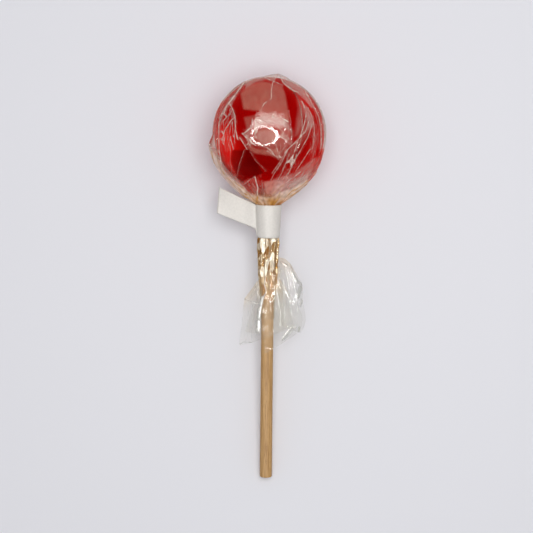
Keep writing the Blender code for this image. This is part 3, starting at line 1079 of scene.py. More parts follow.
BALL_CREASES = (
    Crease(((2.8, -22.1), (1.1, -19.4), (0.6, -16.6), (0.6, -13.7)), 0.08, 0.32, 0.50),
    Crease(((0.6, -13.7), (-2.1, -11.8), (-3.3, -9.2)), 0.08, 0.32, 0.45),
    Crease(((-1.8, -21.1), (1.6, -19.8), (4.6, -18.5)), 0.08, 0.35, 0.40),
    Crease(((3.8, -21.6), (5.1, -19.2), (8.5, -16.6), (10.6, -15.9)), 0.10, 0.45, 0.40),
    Crease(((-9.4, -19.7), (-10.6, -17.7), (-13.9, -13.3), (-16.0, -10.3), (-17.7, -8.0), (-18.7, -6.0),
            (-18.8, -1.2), (-18.7, 6.0), (-17.9, 11.2)), 0.16, 0.42, 0.60),
    Crease(((-10.8, -17.7), (-12.6, -14.5), (-14.2, -11.0)), 0.06, 0.50, 0.22),
    Crease(((-14.8, -11.3), (-13.8, -9.7), (-12.8, -7.1), (-12.5, -2.0), (-11.7, 1.3)), 0.10, 0.45, 0.42),
    Crease(((-13.7, -6.0), (-15.0, -4.1), (-16.4, -2.1), (-17.0, -0.3), (-16.7, 2.3)), 0.12, 0.40, 0.45),
    Crease(((-16.3, -9.5), (-17.0, -7.6), (-15.9, -6.6), (-17.2, -5.0)), 0.12, 0.30, 0.60),
    Crease(((-17.6, -1.2), (-16.9, 0.1), (-17.7, 1.7), (-17.1, 3.3)), 0.12, 0.32, 0.65),
    Crease(((-14.7, 0.7), (-14.4, 5.9), (-14.5, 10.2), (-13.9, 13.9)), 0.06, 0.35, 0.10),
    Crease(((12.0, -12.6), (13.5, -9.2), (13.6, -7.0)), 0.10, 0.40, 0.40),
    Crease(((14.3, -10.2), (16.3, -6.2), (14.5, -2.4)), 0.10, 0.40, 0.30),
    Crease(((13.5, -7.4), (13.0, -4.6), (11.7, -0.9), (10.5, 1.9), (9.5, 5.1), (8.5, 8.1)),
           0.14, 0.36, 0.50),
    Crease(((14.6, -5.3), (13.4, -1.7), (10.4, 1.4), (7.6, 4.0), (5.8, 6.1)), 0.08, 0.32, 0.45),
    Crease(((15.9, -4.2), (14.3, 0.4), (11.4, 5.7), (8.9, 10.0)), 0.08, 0.32, 0.40),
    Crease(((13.3, -16.2), (15.5, -12.3), (17.3, -9.3), (18.6, -6.6), (19.3, -2.7), (19.5, 3.8),
            (19.1, 6.1)), 0.14, 0.40, 0.50),
    Crease(((16.3, -5.4), (16.7, -2.1), (16.6, 2.4), (15.9, 6.1)), 0.08, 0.40, 0.30),
    Crease(((19.9, -5.7), (20.6, -1.8), (20.6, 3.2), (20.1, 8.5)), 0.10, 0.35, 0.30),
    Crease(((-9.3, 5.6), (-10.8, 10.3), (-12.0, 15.3)), 0.07, 0.28, 0.17),
    Crease(((-6.9, 5.9), (-4.8, 9.4), (-1.2, 13.1)), 0.07, 0.25, 0.12),
    Crease(((6.9, 4.8), (4.7, 9.6), (2.0, 14.0), (0.6, 17.0), (-2.2, 21.8)), 0.12, 0.28, 0.38),
    Crease(((6.0, 5.4), (3.9, 9.6), (1.1, 13.9)), 0.10, 0.25, 0.25),
    Crease(((7.5, 6.3), (5.6, 11.5), (4.7, 14.0), (2.7, 18.0)), 0.12, 0.28, 0.35),
    Crease(((15.1, 5.1), (13.3, 8.0), (10.7, 12.3)), 0.08, 0.35, 0.30),
    Crease(((9.6, 7.0), (9.1, 10.0), (7.4, 13.6), (4.2, 17.6)), 0.12, 0.35, 0.35),
    Crease(((11.7, 13.8), (8.0, 16.5), (3.9, 19.9), (1.5, 22.6)), 0.12, 0.45, 0.50),
    Crease(((18.3, 13.9), (15.3, 17.0), (11.7, 20.1), (8.6, 21.7), (6.2, 24.0)), 0.16, 0.40, 0.42),
    Crease(((19.2, 12.7), (16.2, 17.7), (12.3, 20.7), (7.4, 24.0)), 0.14, 0.35, 0.45),
    Crease(((20.1, 12.7), (16.2, 18.9), (11.7, 22.4), (6.5, 26.4)), 0.14, 0.35, 0.45),
    Crease(((-23.5, 4.3), (-22.4, 8.6), (-21.5, 12.2), (-19.0, 16.2), (-14.4, 20.4), (-11.3, 22.8),
            (-7.3, 25.0)), 0.14, 0.40, 0.40),
    Crease(((-21.7, 6.6), (-21.2, 10.0), (-19.6, 14.3), (-17.2, 18.0), (-13.5, 21.0), (-8.3, 25.0)),
           0.14, 0.35, 0.45),
    Crease(((-20.0, 6.2), (-19.2, 11.2), (-16.5, 15.8), (-12.6, 19.6), (-7.9, 23.4)), 0.12, 0.35, 0.42),
    Crease(((-12.9, 18.0), (-9.8, 20.4), (-6.4, 24.2), (-4.8, 26.5)), 0.12, 0.40, 0.40),
    Crease(((-5.1, 15.8), (-4.2, 19.5), (-4.1, 24.0), (-4.4, 27.4)), 0.22, 0.50, 0.75),
    Crease(((-5.4, 15.5), (-8.3, 18.0), (-9.8, 19.6)), 0.10, 0.40, 0.30),
    Crease(((-2.6, 17.2), (-1.8, 22.6), (-1.6, 27.2)), 0.12, 0.40, 0.35),
    Crease(((2.3, 18.5), (0.5, 23.3), (0.2, 27.2)), 0.12, 0.40, 0.40),
    Crease(((5.4, 19.5), (2.8, 24.1), (1.5, 27.2)), 0.12, 0.40, 0.35),
    Crease(((-10.8, 0.8), (-8.3, 4.7)), 0.08, 0.30, 0.50),
    Crease(((-9.0, -1.1), (-7.0, 1.2), (-8.1, 3.3)), 0.08, 0.30, 0.45),
    Crease(((3.7, -0.5), (7.5, 2.6)), 0.08, 0.30, 0.50),
    Crease(((2.8, -3.8), (5.4, -1.3), (7.7, 1.7)), 0.06, 0.25, 0.35),
    Crease(((5.4, -6.2), (6.8, -5.4)), 0.05, 0.45, 0.70),
    Crease(((-6.3, -5.9), (-6.4, -4.8)), 0.05, 0.40, 0.50),
    Crease(((-5.4, -1.7), (-4.7, 0.5)), 0.05, 0.45, 0.55),
    Crease(((3.5, 6.5), (4.2, 7.8)), 0.06, 0.50, 0.50),
    Crease(((-3.0, -5.4), (-4.5, -3.3), (-5.3, 0.6)), 0.06, 0.35, 0.45),
    Crease(((-3.9, -5.7), (-2.4, -5.3)), 0.06, 0.40, 0.60),
    Crease(((3.9, 0.2), (6.1, 1.3), (7.7, 2.9)), 0.06, 0.30, 0.45),
    Crease(((4.7, -0.8), (6.8, 0.5), (8.2, 2.1)), 0.06, 0.30, 0.40),
    Crease(((0.3, 4.5), (1.4, 6.1), (1.9, 6.9)), 0.06, 0.30, 0.50),
    Crease(((-0.7, 5.6), (3.0, 7.7)), 0.06, 0.30, 0.30),
    Crease(((-7.4, -0.6), (-8.2, 1.5), (-7.1, 3.6)), 0.06, 0.30, 0.30),
    Crease(((-8.2, -1.7), (-9.5, -0.8), (-8.7, 0.5)), 0.06, 0.30, 0.40),
    Crease(((6.1, 3.4), (4.0, 6.1), (3.3, 8.3)), 0.06, 0.30, 0.25),
    Crease(((-5.3, -5.4), (-4.8, -4.1), (-5.6, -3.0), (-4.5, -1.8), (-5.3, -0.7)), 0.04, 0.45, 0.85),
    Crease(((-4.1, -5.8), (-2.9, -5.3)), 0.04, 0.50, 0.85),
    Crease(((-6.1, -4.1), (-7.2, -2.7), (-8.2, -1.9), (-9.6, -0.8)), 0.04, 0.35, 0.60),
    Crease(((-9.8, -0.6), (-8.7, 0.5), (-7.4, 1.5), (-6.6, 2.2)), 0.04, 0.35, 0.70),
    Crease(((-7.0, 1.2), (-6.5, 2.5), (-5.2, 3.1)), 0.04, 0.40, 0.70),
    Crease(((0.8, 1.3), (2.4, 2.9), (3.2, 5.5)), 0.03, 0.30, 0.35),
    Crease(((-2.9, 3.5), (-0.8, 4.1), (0.8, 5.6)), 0.03, 0.30, 0.40),
    Crease(((8.7, 7.3), (7.8, 8.9), (6.8, 9.7)), 0.03, 0.55, 0.85),
    Crease(((8.8, 7.3), (8.7, 9.1), (8.1, 10.8)), 0.03, 0.45, 0.80),
    Crease(((8.3, 9.5), (6.8, 9.7)), 0.03, 0.45, 0.70),
)

# Their milk is partly the film's own milkiness and partly painted reflection and highlight of the lights
BALL_PATCHES = (
    # Painted reflection: the broad veil over the upper half, on either side of its middle crease, and the
    # band above it
    FilmPatch(((-10.9, -15.5), (-8.9, -17.3), (-6.7, -18.6), (-2.9, -19.8), (1.0, -19.1), (0.6, -16.6),
               (0.6, -13.7), (-2.1, -11.8), (-3.3, -9.2), (-9.5, -9.8)), 0.31, 1.00, 0.00),
    FilmPatch(((1.0, -19.3), (4.6, -18.2), (5.7, -15.2), (6.4, -11.2), (7.4, -6.5), (6.8, -4.6),
               (4.2, -6.7), (-4.2, -7.7), (-3.3, -9.2), (-2.1, -11.8), (0.6, -13.7), (0.6, -16.6)),
              0.27, 0.90, 0.00),
    FilmPatch(((-9.4, -19.7), (-5.7, -21.1), (-0.7, -22.3), (2.3, -21.7), (1.6, -19.8), (-1.8, -20.5),
               (-5.2, -19.6), (-8.9, -17.3)), 0.42, 0.50, 0.00),
    # Painted reflection in the creased area that mirrors the lights: the area, its brightest part, inside
    # the ring, and the mottled part
    FilmPatch(((-9.4, -6.7), (-3.9, -7.9), (4.2, -7.1), (7.6, -3.8), (8.6, -0.4), (8.2, 2.4), (4.6, 7.0),
               (0.3, 5.0), (-6.3, 3.4), (-8.6, 1.7), (-7.9, -1.1)), 0.14, 0.90, 0.03),
    FilmPatch(((-4.6, -7.0), (-1.7, -7.8), (1.8, -8.2), (6.0, -6.0), (8.1, -1.8), (6.0, -3.4),
               (2.8, -4.2), (-0.8, -4.4), (-3.5, -3.4), (-5.0, -3.8)), 0.31, 0.05, 0.02, 2.0),
    FilmPatch(((-4.5, -1.6), (-1.0, -2.6), (2.5, -1.6), (3.2, 1.0), (0.8, 3.0), (-2.6, 2.8), (-4.4, 0.8)),
              0.22, 0.60, 0.00, 1.5),
    FilmPatch(((3.4, 3.2), (6.2, 0.7), (7.6, 2.6), (6.6, 5.8), (4.4, 8.8), (1.9, 6.5)), 0.03, 0.60, 0.10),
    FilmPatch(((-7.6, 2.8), (-5.0, 4.6), (-1.0, 5.0), (2.6, 4.6), (4.8, 7.6), (3.6, 8.4), (0.6, 7.0),
               (-3.2, 6.6), (-5.5, 6.2), (-7.6, 4.9)), 0.24, 1.00, 0.04),
    # The crumpled film on either side of the ring
    FilmPatch(((-9.8, -0.8), (-7.6, -3.0), (-6.6, -6.2), (-3.4, -7.4), (-2.6, -6.0), (-5.0, -4.6),
               (-6.8, -1.6), (-6.8, 1.6), (-8.4, 0.8)), 0.02, 0.50, 0.14),
    FilmPatch(((4.6, -6.4), (7.0, -5.6), (8.4, -1.5), (8.6, 2.4), (6.6, 4.6), (6.2, 1.0), (5.6, -2.8)),
              0.02, 0.50, 0.12),
    # The creamy folds on the right above the label
    FilmPatch(((-2.0, 18.0), (2.0, 16.4), (6.3, 15.0), (8.5, 16.3), (6.4, 19.4), (2.2, 22.9),
               (-0.6, 22.4)), 0.30, 0.15, 0.05, 1.5),
    FilmPatch(((2.7, 19.4), (11.8, 15.9), (16.5, 14.3), (14.7, 19.3), (10.5, 24.0), (5.9, 26.4),
               (2.1, 27.2), (1.3, 23.3)), 0.30, 0.20, 0.04, 1.5),
    # The rims, with a painted red cast from the candy beside them
    FilmPatch(((17.6, 5.5), (20.9, 5.3), (21.8, 8.5), (20.4, 13.1), (18.1, 17.0), (15.1, 19.3),
               (14.3, 17.0), (16.0, 13.5), (17.3, 9.4)), 0.0, 0.0, 0.0, 1.5, blush=1.0),
    FilmPatch(((-18.1, -11.8), (-20.4, -9.8), (-23.5, -4.0), (-24.2, 3.6), (-21.5, 4.0), (-21.0, -3.1),
               (-18.7, -8.9), (-16.4, -12.0)), 0.0, 0.0, 0.0, 1.5, blush=0.6),
    # The smooth part that mirrors the ring light
    FilmPatch(((-8.6, 0.2), (-7.4, -3.0), (-4.8, -5.0), (-1.6, -5.6), (2.2, -5.2), (5.2, -3.0),
               (6.4, 0.0), (5.8, 3.6), (2.6, 6.4), (-1.5, 7.4), (-5.5, 6.4), (-7.9, 3.8)),
              0.0, 0.0, 0.0, 2.0, taut=1.0),
    # The two dark lobes under it, painted dark reflection
    FilmPatch(((-13.8, 5.6), (-7.4, 5.1), (-6.3, 7.9), (-4.4, 10.0), (-2.3, 13.9), (-4.7, 15.4),
               (-9.8, 17.6), (-11.8, 16.9), (-13.0, 13.3), (-14.4, 9.4)), 0.0, 0.0, 0.0, 0.7, 0.45),
    FilmPatch(((-7.2, 5.4), (-5.5, 6.5), (-3.2, 6.9), (0.6, 7.3), (3.8, 8.6), (4.6, 12.1), (3.3, 14.4),
               (1.0, 16.7), (-2.2, 17.4), (-2.8, 14.5), (-4.4, 10.0), (-6.3, 7.9)),
              0.0, 0.0, 0.0, 0.7, 0.01),
    # Right side, milky with painted reflection: beside the dark wedge, the upper band, the lens, and two
    # bands near the edge
    FilmPatch(((10.2, -14.6), (11.7, -13.2), (12.8, -8.8), (12.4, -4.5), (10.6, -0.8), (9.5, -0.1),
               (10.2, -5.6), (10.9, -10.3)), 0.15, 0.50, 0.03, 2.0),
    FilmPatch(((4.4, -21.2), (7.7, -20.3), (11.0, -18.1), (13.7, -15.8), (15.9, -12.3), (17.1, -9.7),
               (15.5, -10.5), (12.1, -14.2), (8.5, -16.6), (5.3, -19.1)), 0.33, 0.25, 0.05),
    FilmPatch(((12.0, -12.6), (14.3, -10.2), (16.3, -6.2), (14.5, -2.4), (13.4, -7.0)), 0.30, 0.20, 0.03),
    FilmPatch(((15.5, -5.5), (14.6, -1.0), (11.8, 3.2), (8.6, 7.4), (6.4, 8.0), (8.0, 3.6), (11.0, 0.2),
               (13.0, -3.8)), 0.11, 0.70, 0.03, 1.5),
    FilmPatch(((16.0, -5.1), (17.4, -4.3), (17.5, 5.5), (16.1, 6.9)), 0.07, 0.40, 0.05),
    FilmPatch(((18.8, -6.7), (19.9, -5.5), (20.4, 0.1), (19.9, 7.0), (19.0, 5.6), (19.2, -1.9)),
              0.08, 0.50, 0.05),
    # Left side, milky with painted reflection: outside and inside the long crease, a small blob, the
    # crinkles and a bright band
    FilmPatch(((-11.3, -19.1), (-9.4, -19.7), (-13.9, -13.3), (-17.7, -8.0), (-18.7, -6.0), (-20.9, -5.0),
               (-20.0, -8.6), (-17.0, -14.0), (-14.0, -17.0)), 0.10, 0.60, 0.12),
    FilmPatch(((-21.4, -4.0), (-18.7, -6.0), (-18.8, -1.2), (-18.7, 6.0), (-20.3, 8.2), (-21.4, 2.7)),
              0.06, 0.60, 0.02),
    FilmPatch(((-10.2, -19.0), (-8.6, -19.6), (-11.7, -15.2), (-14.5, -11.0), (-17.5, -8.0),
               (-18.1, -8.7), (-14.6, -13.3)), 0.17, 0.30, 0.03),
    FilmPatch(((-14.4, -9.8), (-13.6, -9.6), (-12.7, -7.1), (-12.6, -5.3), (-13.7, -5.8)),
              0.20, 0.00, 0.03),
    FilmPatch(((-17.9, -8.3), (-14.8, -11.4), (-12.4, -6.0), (-12.0, 0.9), (-13.5, 5.5), (-17.7, 6.7),
               (-18.6, 2.1), (-18.7, -6.0)), 0.01, 0.10, 0.11),
    FilmPatch(((-16.2, -1.8), (-14.8, -2.6), (-14.8, 5.6), (-16.0, 6.5)), 0.07, 1.00, 0.02),
    # Lower end, milky with painted reflection: above the label, the middle, the left and the right, and the
    # rim on the right
    FilmPatch(((-1.7, 17.4), (2.0, 16.7), (5.8, 17.4), (4.3, 22.3), (6.6, 24.5), (2.2, 25.6),
               (-1.1, 22.9)), 0.28, 0.35, 0.04),
    FilmPatch(((-11.1, 18.8), (-8.1, 17.0), (-5.4, 15.6), (-3.6, 17.1), (1.5, 17.0), (3.1, 16.3),
               (0.9, 21.8), (-2.6, 24.5), (-6.4, 24.6), (-9.5, 21.1)), 0.11, 0.20, 0.05),
    FilmPatch(((-17.9, 9.7), (-15.3, 15.6), (-13.3, 18.5), (-8.7, 20.3), (-5.6, 24.9), (-8.7, 24.6),
               (-13.7, 21.0), (-17.2, 18.0), (-19.6, 14.3), (-19.2, 10.5)), 0.20, 0.40, 0.10),
    FilmPatch(((16.5, 8.7), (18.3, 8.3), (18.3, 13.5), (12.4, 18.2), (7.7, 21.7), (3.2, 24.5),
               (0.5, 24.1), (1.5, 19.4), (4.8, 15.3), (9.2, 14.2), (13.4, 11.2)), 0.19, 0.50, 0.08),
    FilmPatch(((18.5, 8.4), (20.1, 8.5), (19.4, 13.1), (16.2, 17.8), (12.0, 21.3), (7.1, 24.8),
               (4.8, 26.4), (5.9, 24.0), (11.6, 20.1), (15.3, 17.0), (18.3, 13.9)), 0.05, 0.30, 0.10),
)


def gap_to_edge(
    across: float, along: float, start: tuple[float, float], end: tuple[float, float],
) -> float:
    """Measure how far a place is from a straight edge.

    Args:
        across: The place's millimetres across.
        along: Its millimetres along the stick.
        start: The edge's one end, across and along.
        end: Its other end.

    Returns:
        The distance in millimetres.
    """
    run = (end[0] - start[0], end[1] - start[1])
    share = ((across - start[0]) * run[0] + (along - start[1]) * run[1]) / (run[0] ** 2 + run[1] ** 2)
    share = min(max(share, 0.0), 1.0)
    return math.hypot(across - start[0] - share * run[0], along - start[1] - share * run[1])


def pressed(
    creases: tuple[Crease, ...], across: float, along: float,
) -> tuple[float, float, float]:
    """Work out what creases do to the film at a place.

    Args:
        creases: The creases of its sheet.
        across: The place's millimetres across.
        along: The place's millimetres along the stick.

    Returns:
        How far they lift it in millimetres, how many times half its width the nearest one is away,
        minus on its one side, and how strongly that one shows.
    """
    rise, gap, line = 0.0, NO_CREASE, 0.0
    for crease in creases:
        away = crease.gap(across, along)
        half = crease.drawn_width()
        rise = max(rise, crease.rise * (1.0 - abs(away) / half))
        if abs(away / half) < abs(gap):
            gap = away / half
            faded = 1.0 - smooth_step((abs(away) - max(half, 0.35)) / 0.3)
            line = min(1.3 * crease.strength, 1.0) * faded
    broken = 0.8 + 0.8 * noise.noise(Vector((across / 1.4, along / 1.4, 2.0)))
    return rise, gap, line * min(max(broken, 0.3), 1.0)


def settled(place: Vector) -> Vector:
    """Return a place of the film, lifted onto the ground if it lies below it."""
    up = Vector((0.0, math.cos(stick_tilt()), -math.sin(stick_tilt())))
    return place + up * max(0.0, FILM_WALL - BALL_HEIGHT - place.dot(up))


def lay_film(
    name: str,
    size: tuple[int, int],
    point_at: Callable[[float, float], FilmPoint],
    material: bpy.types.Material,
) -> bpy.types.Object:
    """Bend a flat grid into a sheet of film and give it its wall.

    Args:
        name: The piece's name.
        size: Faces across and down the grid.
        point_at: Gives the film at a share of the grid's width and of its height.
        material: The film's material.

    Returns:
        The finished piece.
    """
    bm = bmesh.new()
    bmesh.ops.create_grid(bm, x_segments=size[0], y_segments=size[1], size=0.5)
    layers = {look: bm.verts.layers.float.new(look) for look in SHEET_LOOKS}
    for vert in bm.verts:
        point = point_at(vert.co.x + 0.5, vert.co.y + 0.5)
        vert.co = settled(point.place)
        for look, layer in layers.items():
            vert[layer] = getattr(point, look)
    bmesh.ops.remove_doubles(bm, verts=bm.verts, dist=MERGE_DISTANCE)
    bmesh.ops.recalc_face_normals(bm, faces=bm.faces)
    piece = make_piece(name, bm, material, Node.WRAPPER)
    give_wall(piece, FILM_WALL)
    return piece


@dataclass
class FilmBall:
    """The film from its point over the ball down to the neck, folded and gathered, in one sheet.

    Lengths, and places along the stick, are in millimetres.
    """

    ball_radius: float = 21.65
    # The small point near the far pole, in radians, and the degrees that it keeps within
    tip_lean: float = math.radians(8.4)
    tip_height: float = 1.2
    tip_spread: float = math.radians(15.0)
    tip_until: float = 20.0
    # Where the film leaves the ball, at its sides and on top and below
    leave_sides: float = 3.0
    leave_middle: float = 12.5
    # Where it meets the label, and how fast it narrows there
    neck_start: float = 26.7
    neck_slope_sides: float = -1.6
    neck_slope_middle: float = -0.95
    # How far the loose fold on the left stands off, and over what length it begins
    left_fold: float = 2.0
    left_fold_fade: float = 5.0
    # How it runs on inside the label
    label_top: float = LABEL_TOP
    label_top_radius: float = LABEL_TOP_RADIUS
    narrowing: float = 0.055
    label_clearance: float = 0.7
    sheet_end: float = 34.0
    # Its faces, with more rows over the ball and closer columns on the shown side
    columns: int = 300
    rows: int = 157
    rows_on_ball: float = 0.48
    crowding: float = 0.42
    # Up to here its folds point away from the ball's middle
    round_until: float = 10.0
    # Where it gets gathered, over what length, and into how many folds
    gather_from: float = 15.0
    gather_over: float = 12.0
    neck_pleats: int = 13
    # The sizes of its taut folds, its small creases and its finest unevenness
    taut_fold_size: float = 7.0
    small_crease_size: float = 2.2
    grain_size: float = 1.2
    # How far across the creased rims begin, over what width, and where the creamy film does
    rim_from: float = 14.0
    rim_over: float = 4.0
    rim_radius: float = 21.0
    # The folds of the hidden side, in degrees round the stick
    hidden_from: int = 192
    hidden_to: int = 350
    hidden_step: int = 22
    seed: int = 11
    pleats: list[Pleat] = field(init=False)

    def __post_init__(self) -> None:
        """Add evenly spread folds for the hidden side to those that the photo shows."""
        dice = random.Random(self.seed)
        hidden = [
            Pleat(angle + dice.uniform(-5.0, 5.0), dice.uniform(-12.0, 12.0), dice.uniform(3.0, 4.0),
                  dice.uniform(1.7, 2.2), dice.choice((-1.0, 1.0)) * dice.uniform(0.15, 0.25))
            for angle in range(self.hidden_from, self.hidden_to, self.hidden_step)
        ]
        self.pleats = list(SHOWN_PLEATS) + hidden

    def middle_share(self, angle: float) -> float:
        """Return 0 at the sides, 1 on top and below, where the film stays on the ball for longer."""
        return smooth_step((abs(math.sin(angle)) - 0.3) / 0.6)

    def left_fold_height(self, along: float, angle: float) -> float:
        """Work out how far the loose fold on the left stands off the film beside it.

        Args:
            along: A place's millimetres along the stick.
            angle: Its angle round the stick, in radians.

        Returns:
            The millimetres.
        """
        across = max(0.0, -math.cos(angle)) ** 8
        fade_in = smooth_step(along / self.left_fold_fade)
        fade_out = 1.0 - smooth_step(along / self.neck_start) ** 2
        return self.left_fold * across * fade_in * fade_out

    def radius(self, along: float, angle: float) -> float:
        """Work out the film's mean radius past the ball's widest circle.

        Args:
            along: A place's millimetres along the stick.
            angle: Its angle round the stick, in radians.

        Returns:
            The radius in millimetres.
        """
        middle = self.middle_share(angle)
        leave = blend(self.leave_sides, self.leave_middle, middle)
        if along <= leave:
            radius = math.sqrt(self.ball_radius ** 2 - along ** 2)
        else:
            start = math.sqrt(self.ball_radius ** 2 - leave ** 2)
            length = self.neck_start - leave
            share = min((along - leave) / length, 1.0)
            first = (share - 2.0 * share ** 2 + share ** 3) * -leave / start
            slope = blend(self.neck_slope_sides, self.neck_slope_middle, middle)
            last = (share ** 3 - share ** 2) * slope
            radius = blend(start, self.label_top_radius, smooth_step(share)) + length * (first + last)
        inner = self.label_top_radius - self.label_clearance - self.narrowing * (along - self.label_top)
        tucked = smooth_step((along - self.neck_start + 0.3) / 1.2)
        return blend(radius + self.left_fold_height(along, angle), inner, tucked)

    def tip_rise(self, direction: Vector) -> float:
        """Return how far the film's small point lifts it off the ball in a direction."""
        tip = Vector((math.sin(self.tip_lean), 0.0, -math.cos(self.tip_lean)))
        return self.tip_height * max(0.0, 1.0 - direction.angle(tip) / self.tip_spread)

    def station(self, down: float) -> tuple[float, float]:
        """Turn a share of the way down the sheet into a place on its outline.

        Args:
            down: Share of the sheet's rows, from the point over the ball.

        Returns:
            Degrees from the far pole, held at 90 past the ball's widest circle, and the distance
            along the stick in millimetres.
        """
        if down <= self.rows_on_ball:
            polar = 90.0 * (down / self.rows_on_ball) ** 0.85
            return polar, -self.ball_radius * math.cos(math.radians(polar))
        return 90.0, self.sheet_end * (down - self.rows_on_ball) / (1.0 - self.rows_on_ball)

    def folded(self, angle: float, polar: float, gather: float) -> tuple[float, float]:
        """Fold the sheet round the stick.

        Args:
            angle: Place round the flat sheet, in radians.
            polar: Degrees from the far pole as seen from the ball's centre.
            gather: How tightly the film is bunched, from 0 on the ball to 1 at the neck.

        Returns:
            The angle round the stick in radians, and the millimetres that the sheet stands off.
        """
        turned, lifted = angle, 0.0
        ease = smooth_step((polar - 6.0) / 30.0)
        share = smooth_step((polar - 45.0) / 100.0)
        for pleat in self.pleats:
            middle = math.radians(pleat.angle + pleat.drift * share)
            width = math.radians(pleat.width) * blend(0.6, 1.3, share)
            across = angle_between(angle, middle) / width
            if abs(across) < 5.0:
                bell = math.exp(-across * across / 2.0)
                turned -= pleat.fold * ease * width * across * bell
                lifted -= pleat.lift * ease * across * bell * 1.6
        ripple = self.neck_pleats * angle + 1.3 * math.sin(2.0 * angle + 0.7) + 0.9 * math.sin(3.0 * angle)
        turned += gather * 1.5 * math.sin(ripple) / self.neck_pleats
        lifted += gather * 0.42 * math.sin(ripple) + gather * 0.25 * math.sin(2.3 * ripple)
        return turned, lifted

    def relief(self, point: Vector, polar: float, crinkle: float) -> float:
        """Work out how far taut folds and small creases move the film at a place.

        Args:
            point: The place in the stick's frame.
            polar: Its degrees from the far pole.
            crinkle: How far small creases move it, in millimetres.

        Returns:
            The millimetres.
        """
        loose = smooth_step((polar - 100.0) / 40.0)
        near = noise.voronoi(Vector((point.x, point.y, 0.6 * point.z)) / self.taut_fold_size)[0]
        fold = max(0.0, 1.0 - 3.5 * (near[1] - near[0]))
        small = noise.voronoi(Vector((point.x, point.y, 0.7 * point.z)) / self.small_crease_size)[0]
        sharp = max(0.0, 1.0 - 3.0 * (small[1] - small[0]))
        fine = noise.noise(point / self.grain_size)
        return blend(0.05, 0.22, loose) * fold + (crinkle + 0.05 * loose) * (sharp + 0.7 * fine)

    def strands(self, angle: float, polar: float) -> float:
        """Work out how strongly a fine crease that runs towards the neck shows at a place.

        Args:
            angle: The place's angle round the stick, in radians.
            polar: Its degrees from the far pole.

        Returns:
            Its strength, from 0 to 1.
        """
        turn = math.degrees(angle)
        first = noise.noise(Vector((turn / 3.8, polar / 30.0, 5.0)))
        second = noise.noise(Vector((turn / 6.0, polar / 45.0, 11.0)))
        return max(0.0, 1.0 - min(abs(first) / 0.055, abs(second) / 0.04))

    def looks(self, point: Vector, angle: float, polar: float) -> dict[str, float]:
        """Work out what the film over the ball looks like at a place.

        Args:
            point: The place, in the stick's frame.
            angle: Its angle round the stick, in radians.
            polar: Its degrees from the far pole.

        Returns:
            How milky it is, partly as painted reflection and highlight, its painted red light from the
            candy, painted dark reflection, painted red cast, painted gold crease shade and tautness, how
            strongly its creases show, and how far small creases move it and sharp ones lift it, in
            millimetres.
        """
        shown = smooth_step((point.y + 3.0) / 3.0)
        haze, candy_light_sum, crinkle, shade, bare, taut, blush = 0.0, 0.0, 0.0, 0.0, 0.0, 0.0, 0.0
        rise, gap, line = 0.0, NO_CREASE, 0.0
        if shown > 0.0:
            for patch in BALL_PATCHES:
                share = patch.share(point.x, point.z)
                haze += share * patch.haze
                candy_light_sum += share * patch.haze * patch.warm
                crinkle += share * patch.crinkle
                shade = max(shade, share * patch.shade)
                bare = max(bare, share if patch.shade > 0.0 else 0.0)
                taut = max(taut, share * patch.taut)
                blush = max(blush, share * patch.blush)
            rise, gap, line = pressed(BALL_CREASES, point.x, point.z)
        warm = candy_light_sum / haze if haze > 0.0 else 0.0
        streak = noise.noise(Vector((point.x / 1.1, point.y / 1.1, point.z / 6.0)))
        broad = noise.noise(Vector((math.degrees(angle) / 12.0, polar / 40.0, 7.0)))
        haze = blend(0.02 + 0.04 * max(broad, 0.0), haze, shown) * (1.0 + 0.35 * streak)
        low = smooth_step((polar - 112.0) / 25.0)
        side = smooth_step((abs(point.x) - self.rim_from) / self.rim_over)
        side *= smooth_step((polar - 40.0) / 20.0)
        bare *= shown
        cluster = 0.35 + 0.9 * max(noise.noise(around(4.0, angle, 3.0)), 0.0)
        fan = cluster * max(low, 0.35 * side) * (1.0 - bare) * blend(0.5, 1.0, shown)
        strand = self.strands(angle, polar) * fan
        # Near the middle, lower down the milk takes more painted red light from the candy, and the cream
        # starts further out
        red = 1.0 - smooth_step((abs(point.x + 3.0) - 4.0) / 3.0)
        past_rim = math.hypot(point.x, point.z) - self.rim_radius
        cream = smooth_step((past_rim - 1.8 * red) / 1.8)
        cream *= smooth_step((point.z - 4.0) / 4.0) * (1.0 - 0.7 * blush)
        haze = max(haze * (1.0 - bare), 1.4 * cream * (1.0 + 0.5 * streak))
        warm = blend(blend(warm, 0.8, low * red), 0.3, cream)
        # Painted highlight: milky specks where the film is crinkled
        cell = noise.voronoi(Vector((point.x, point.y, 0.5 * point.z)) / 1.5)[0][0]
        painted_speck = 0.9 * shown * max(0.0, 1.0 - cell / 0.2) * smooth_step((crinkle - 0.08) / 0.05)
        soft = max(0.4 * strand, painted_speck)
        return {
            "haze": max(haze, 1.0 - (1.0 - haze) * (1.0 - soft)),
            "warm": blend(blend(0.65, 0.1, cream), warm, haze / (haze + max(soft, line) + 0.001)),
            "shade": shade * shown,
            "blush": blush * shown,
            "taut": taut * shown,
            # Painted shade in the creases of the creamy film, drawn gold
            "painted_crease_shade": min(cream * max(0.9 * strand, 2.2 * line * shown * max(0.0, 1.2 - abs(gap))), 1.0),
            "gap": gap,
            "line": line * shown,
            "strand": max(fan, min(3.5 * crinkle, 0.35) * shown) * (1.0 - bare),
            "crinkle": blend(0.05, crinkle, shown),
            "rise": rise * shown + 0.05 * strand,
        }

    def bunched(self, across: float, angle: float, along: float) -> float:
        """Work out how tightly the film is bunched at the neck, in strands of its own.

        Args:
            across: A place's millimetres across.
            angle: Its angle round the stick, in radians.
            along: Its millimetres along the stick.

        Returns:
            The tightness, from 0 to 1.
        """
        gold = 0.75 + 0.9 * noise.noise(around(5.0, angle, along / 4.0))
        bunch = smooth_step((along - 21.0) / 5.0) * min(max(gold, 0.1), 1.0)
        return bunch * blend(1.0, 0.45, smooth_step((abs(across) - 4.0) / 3.0))

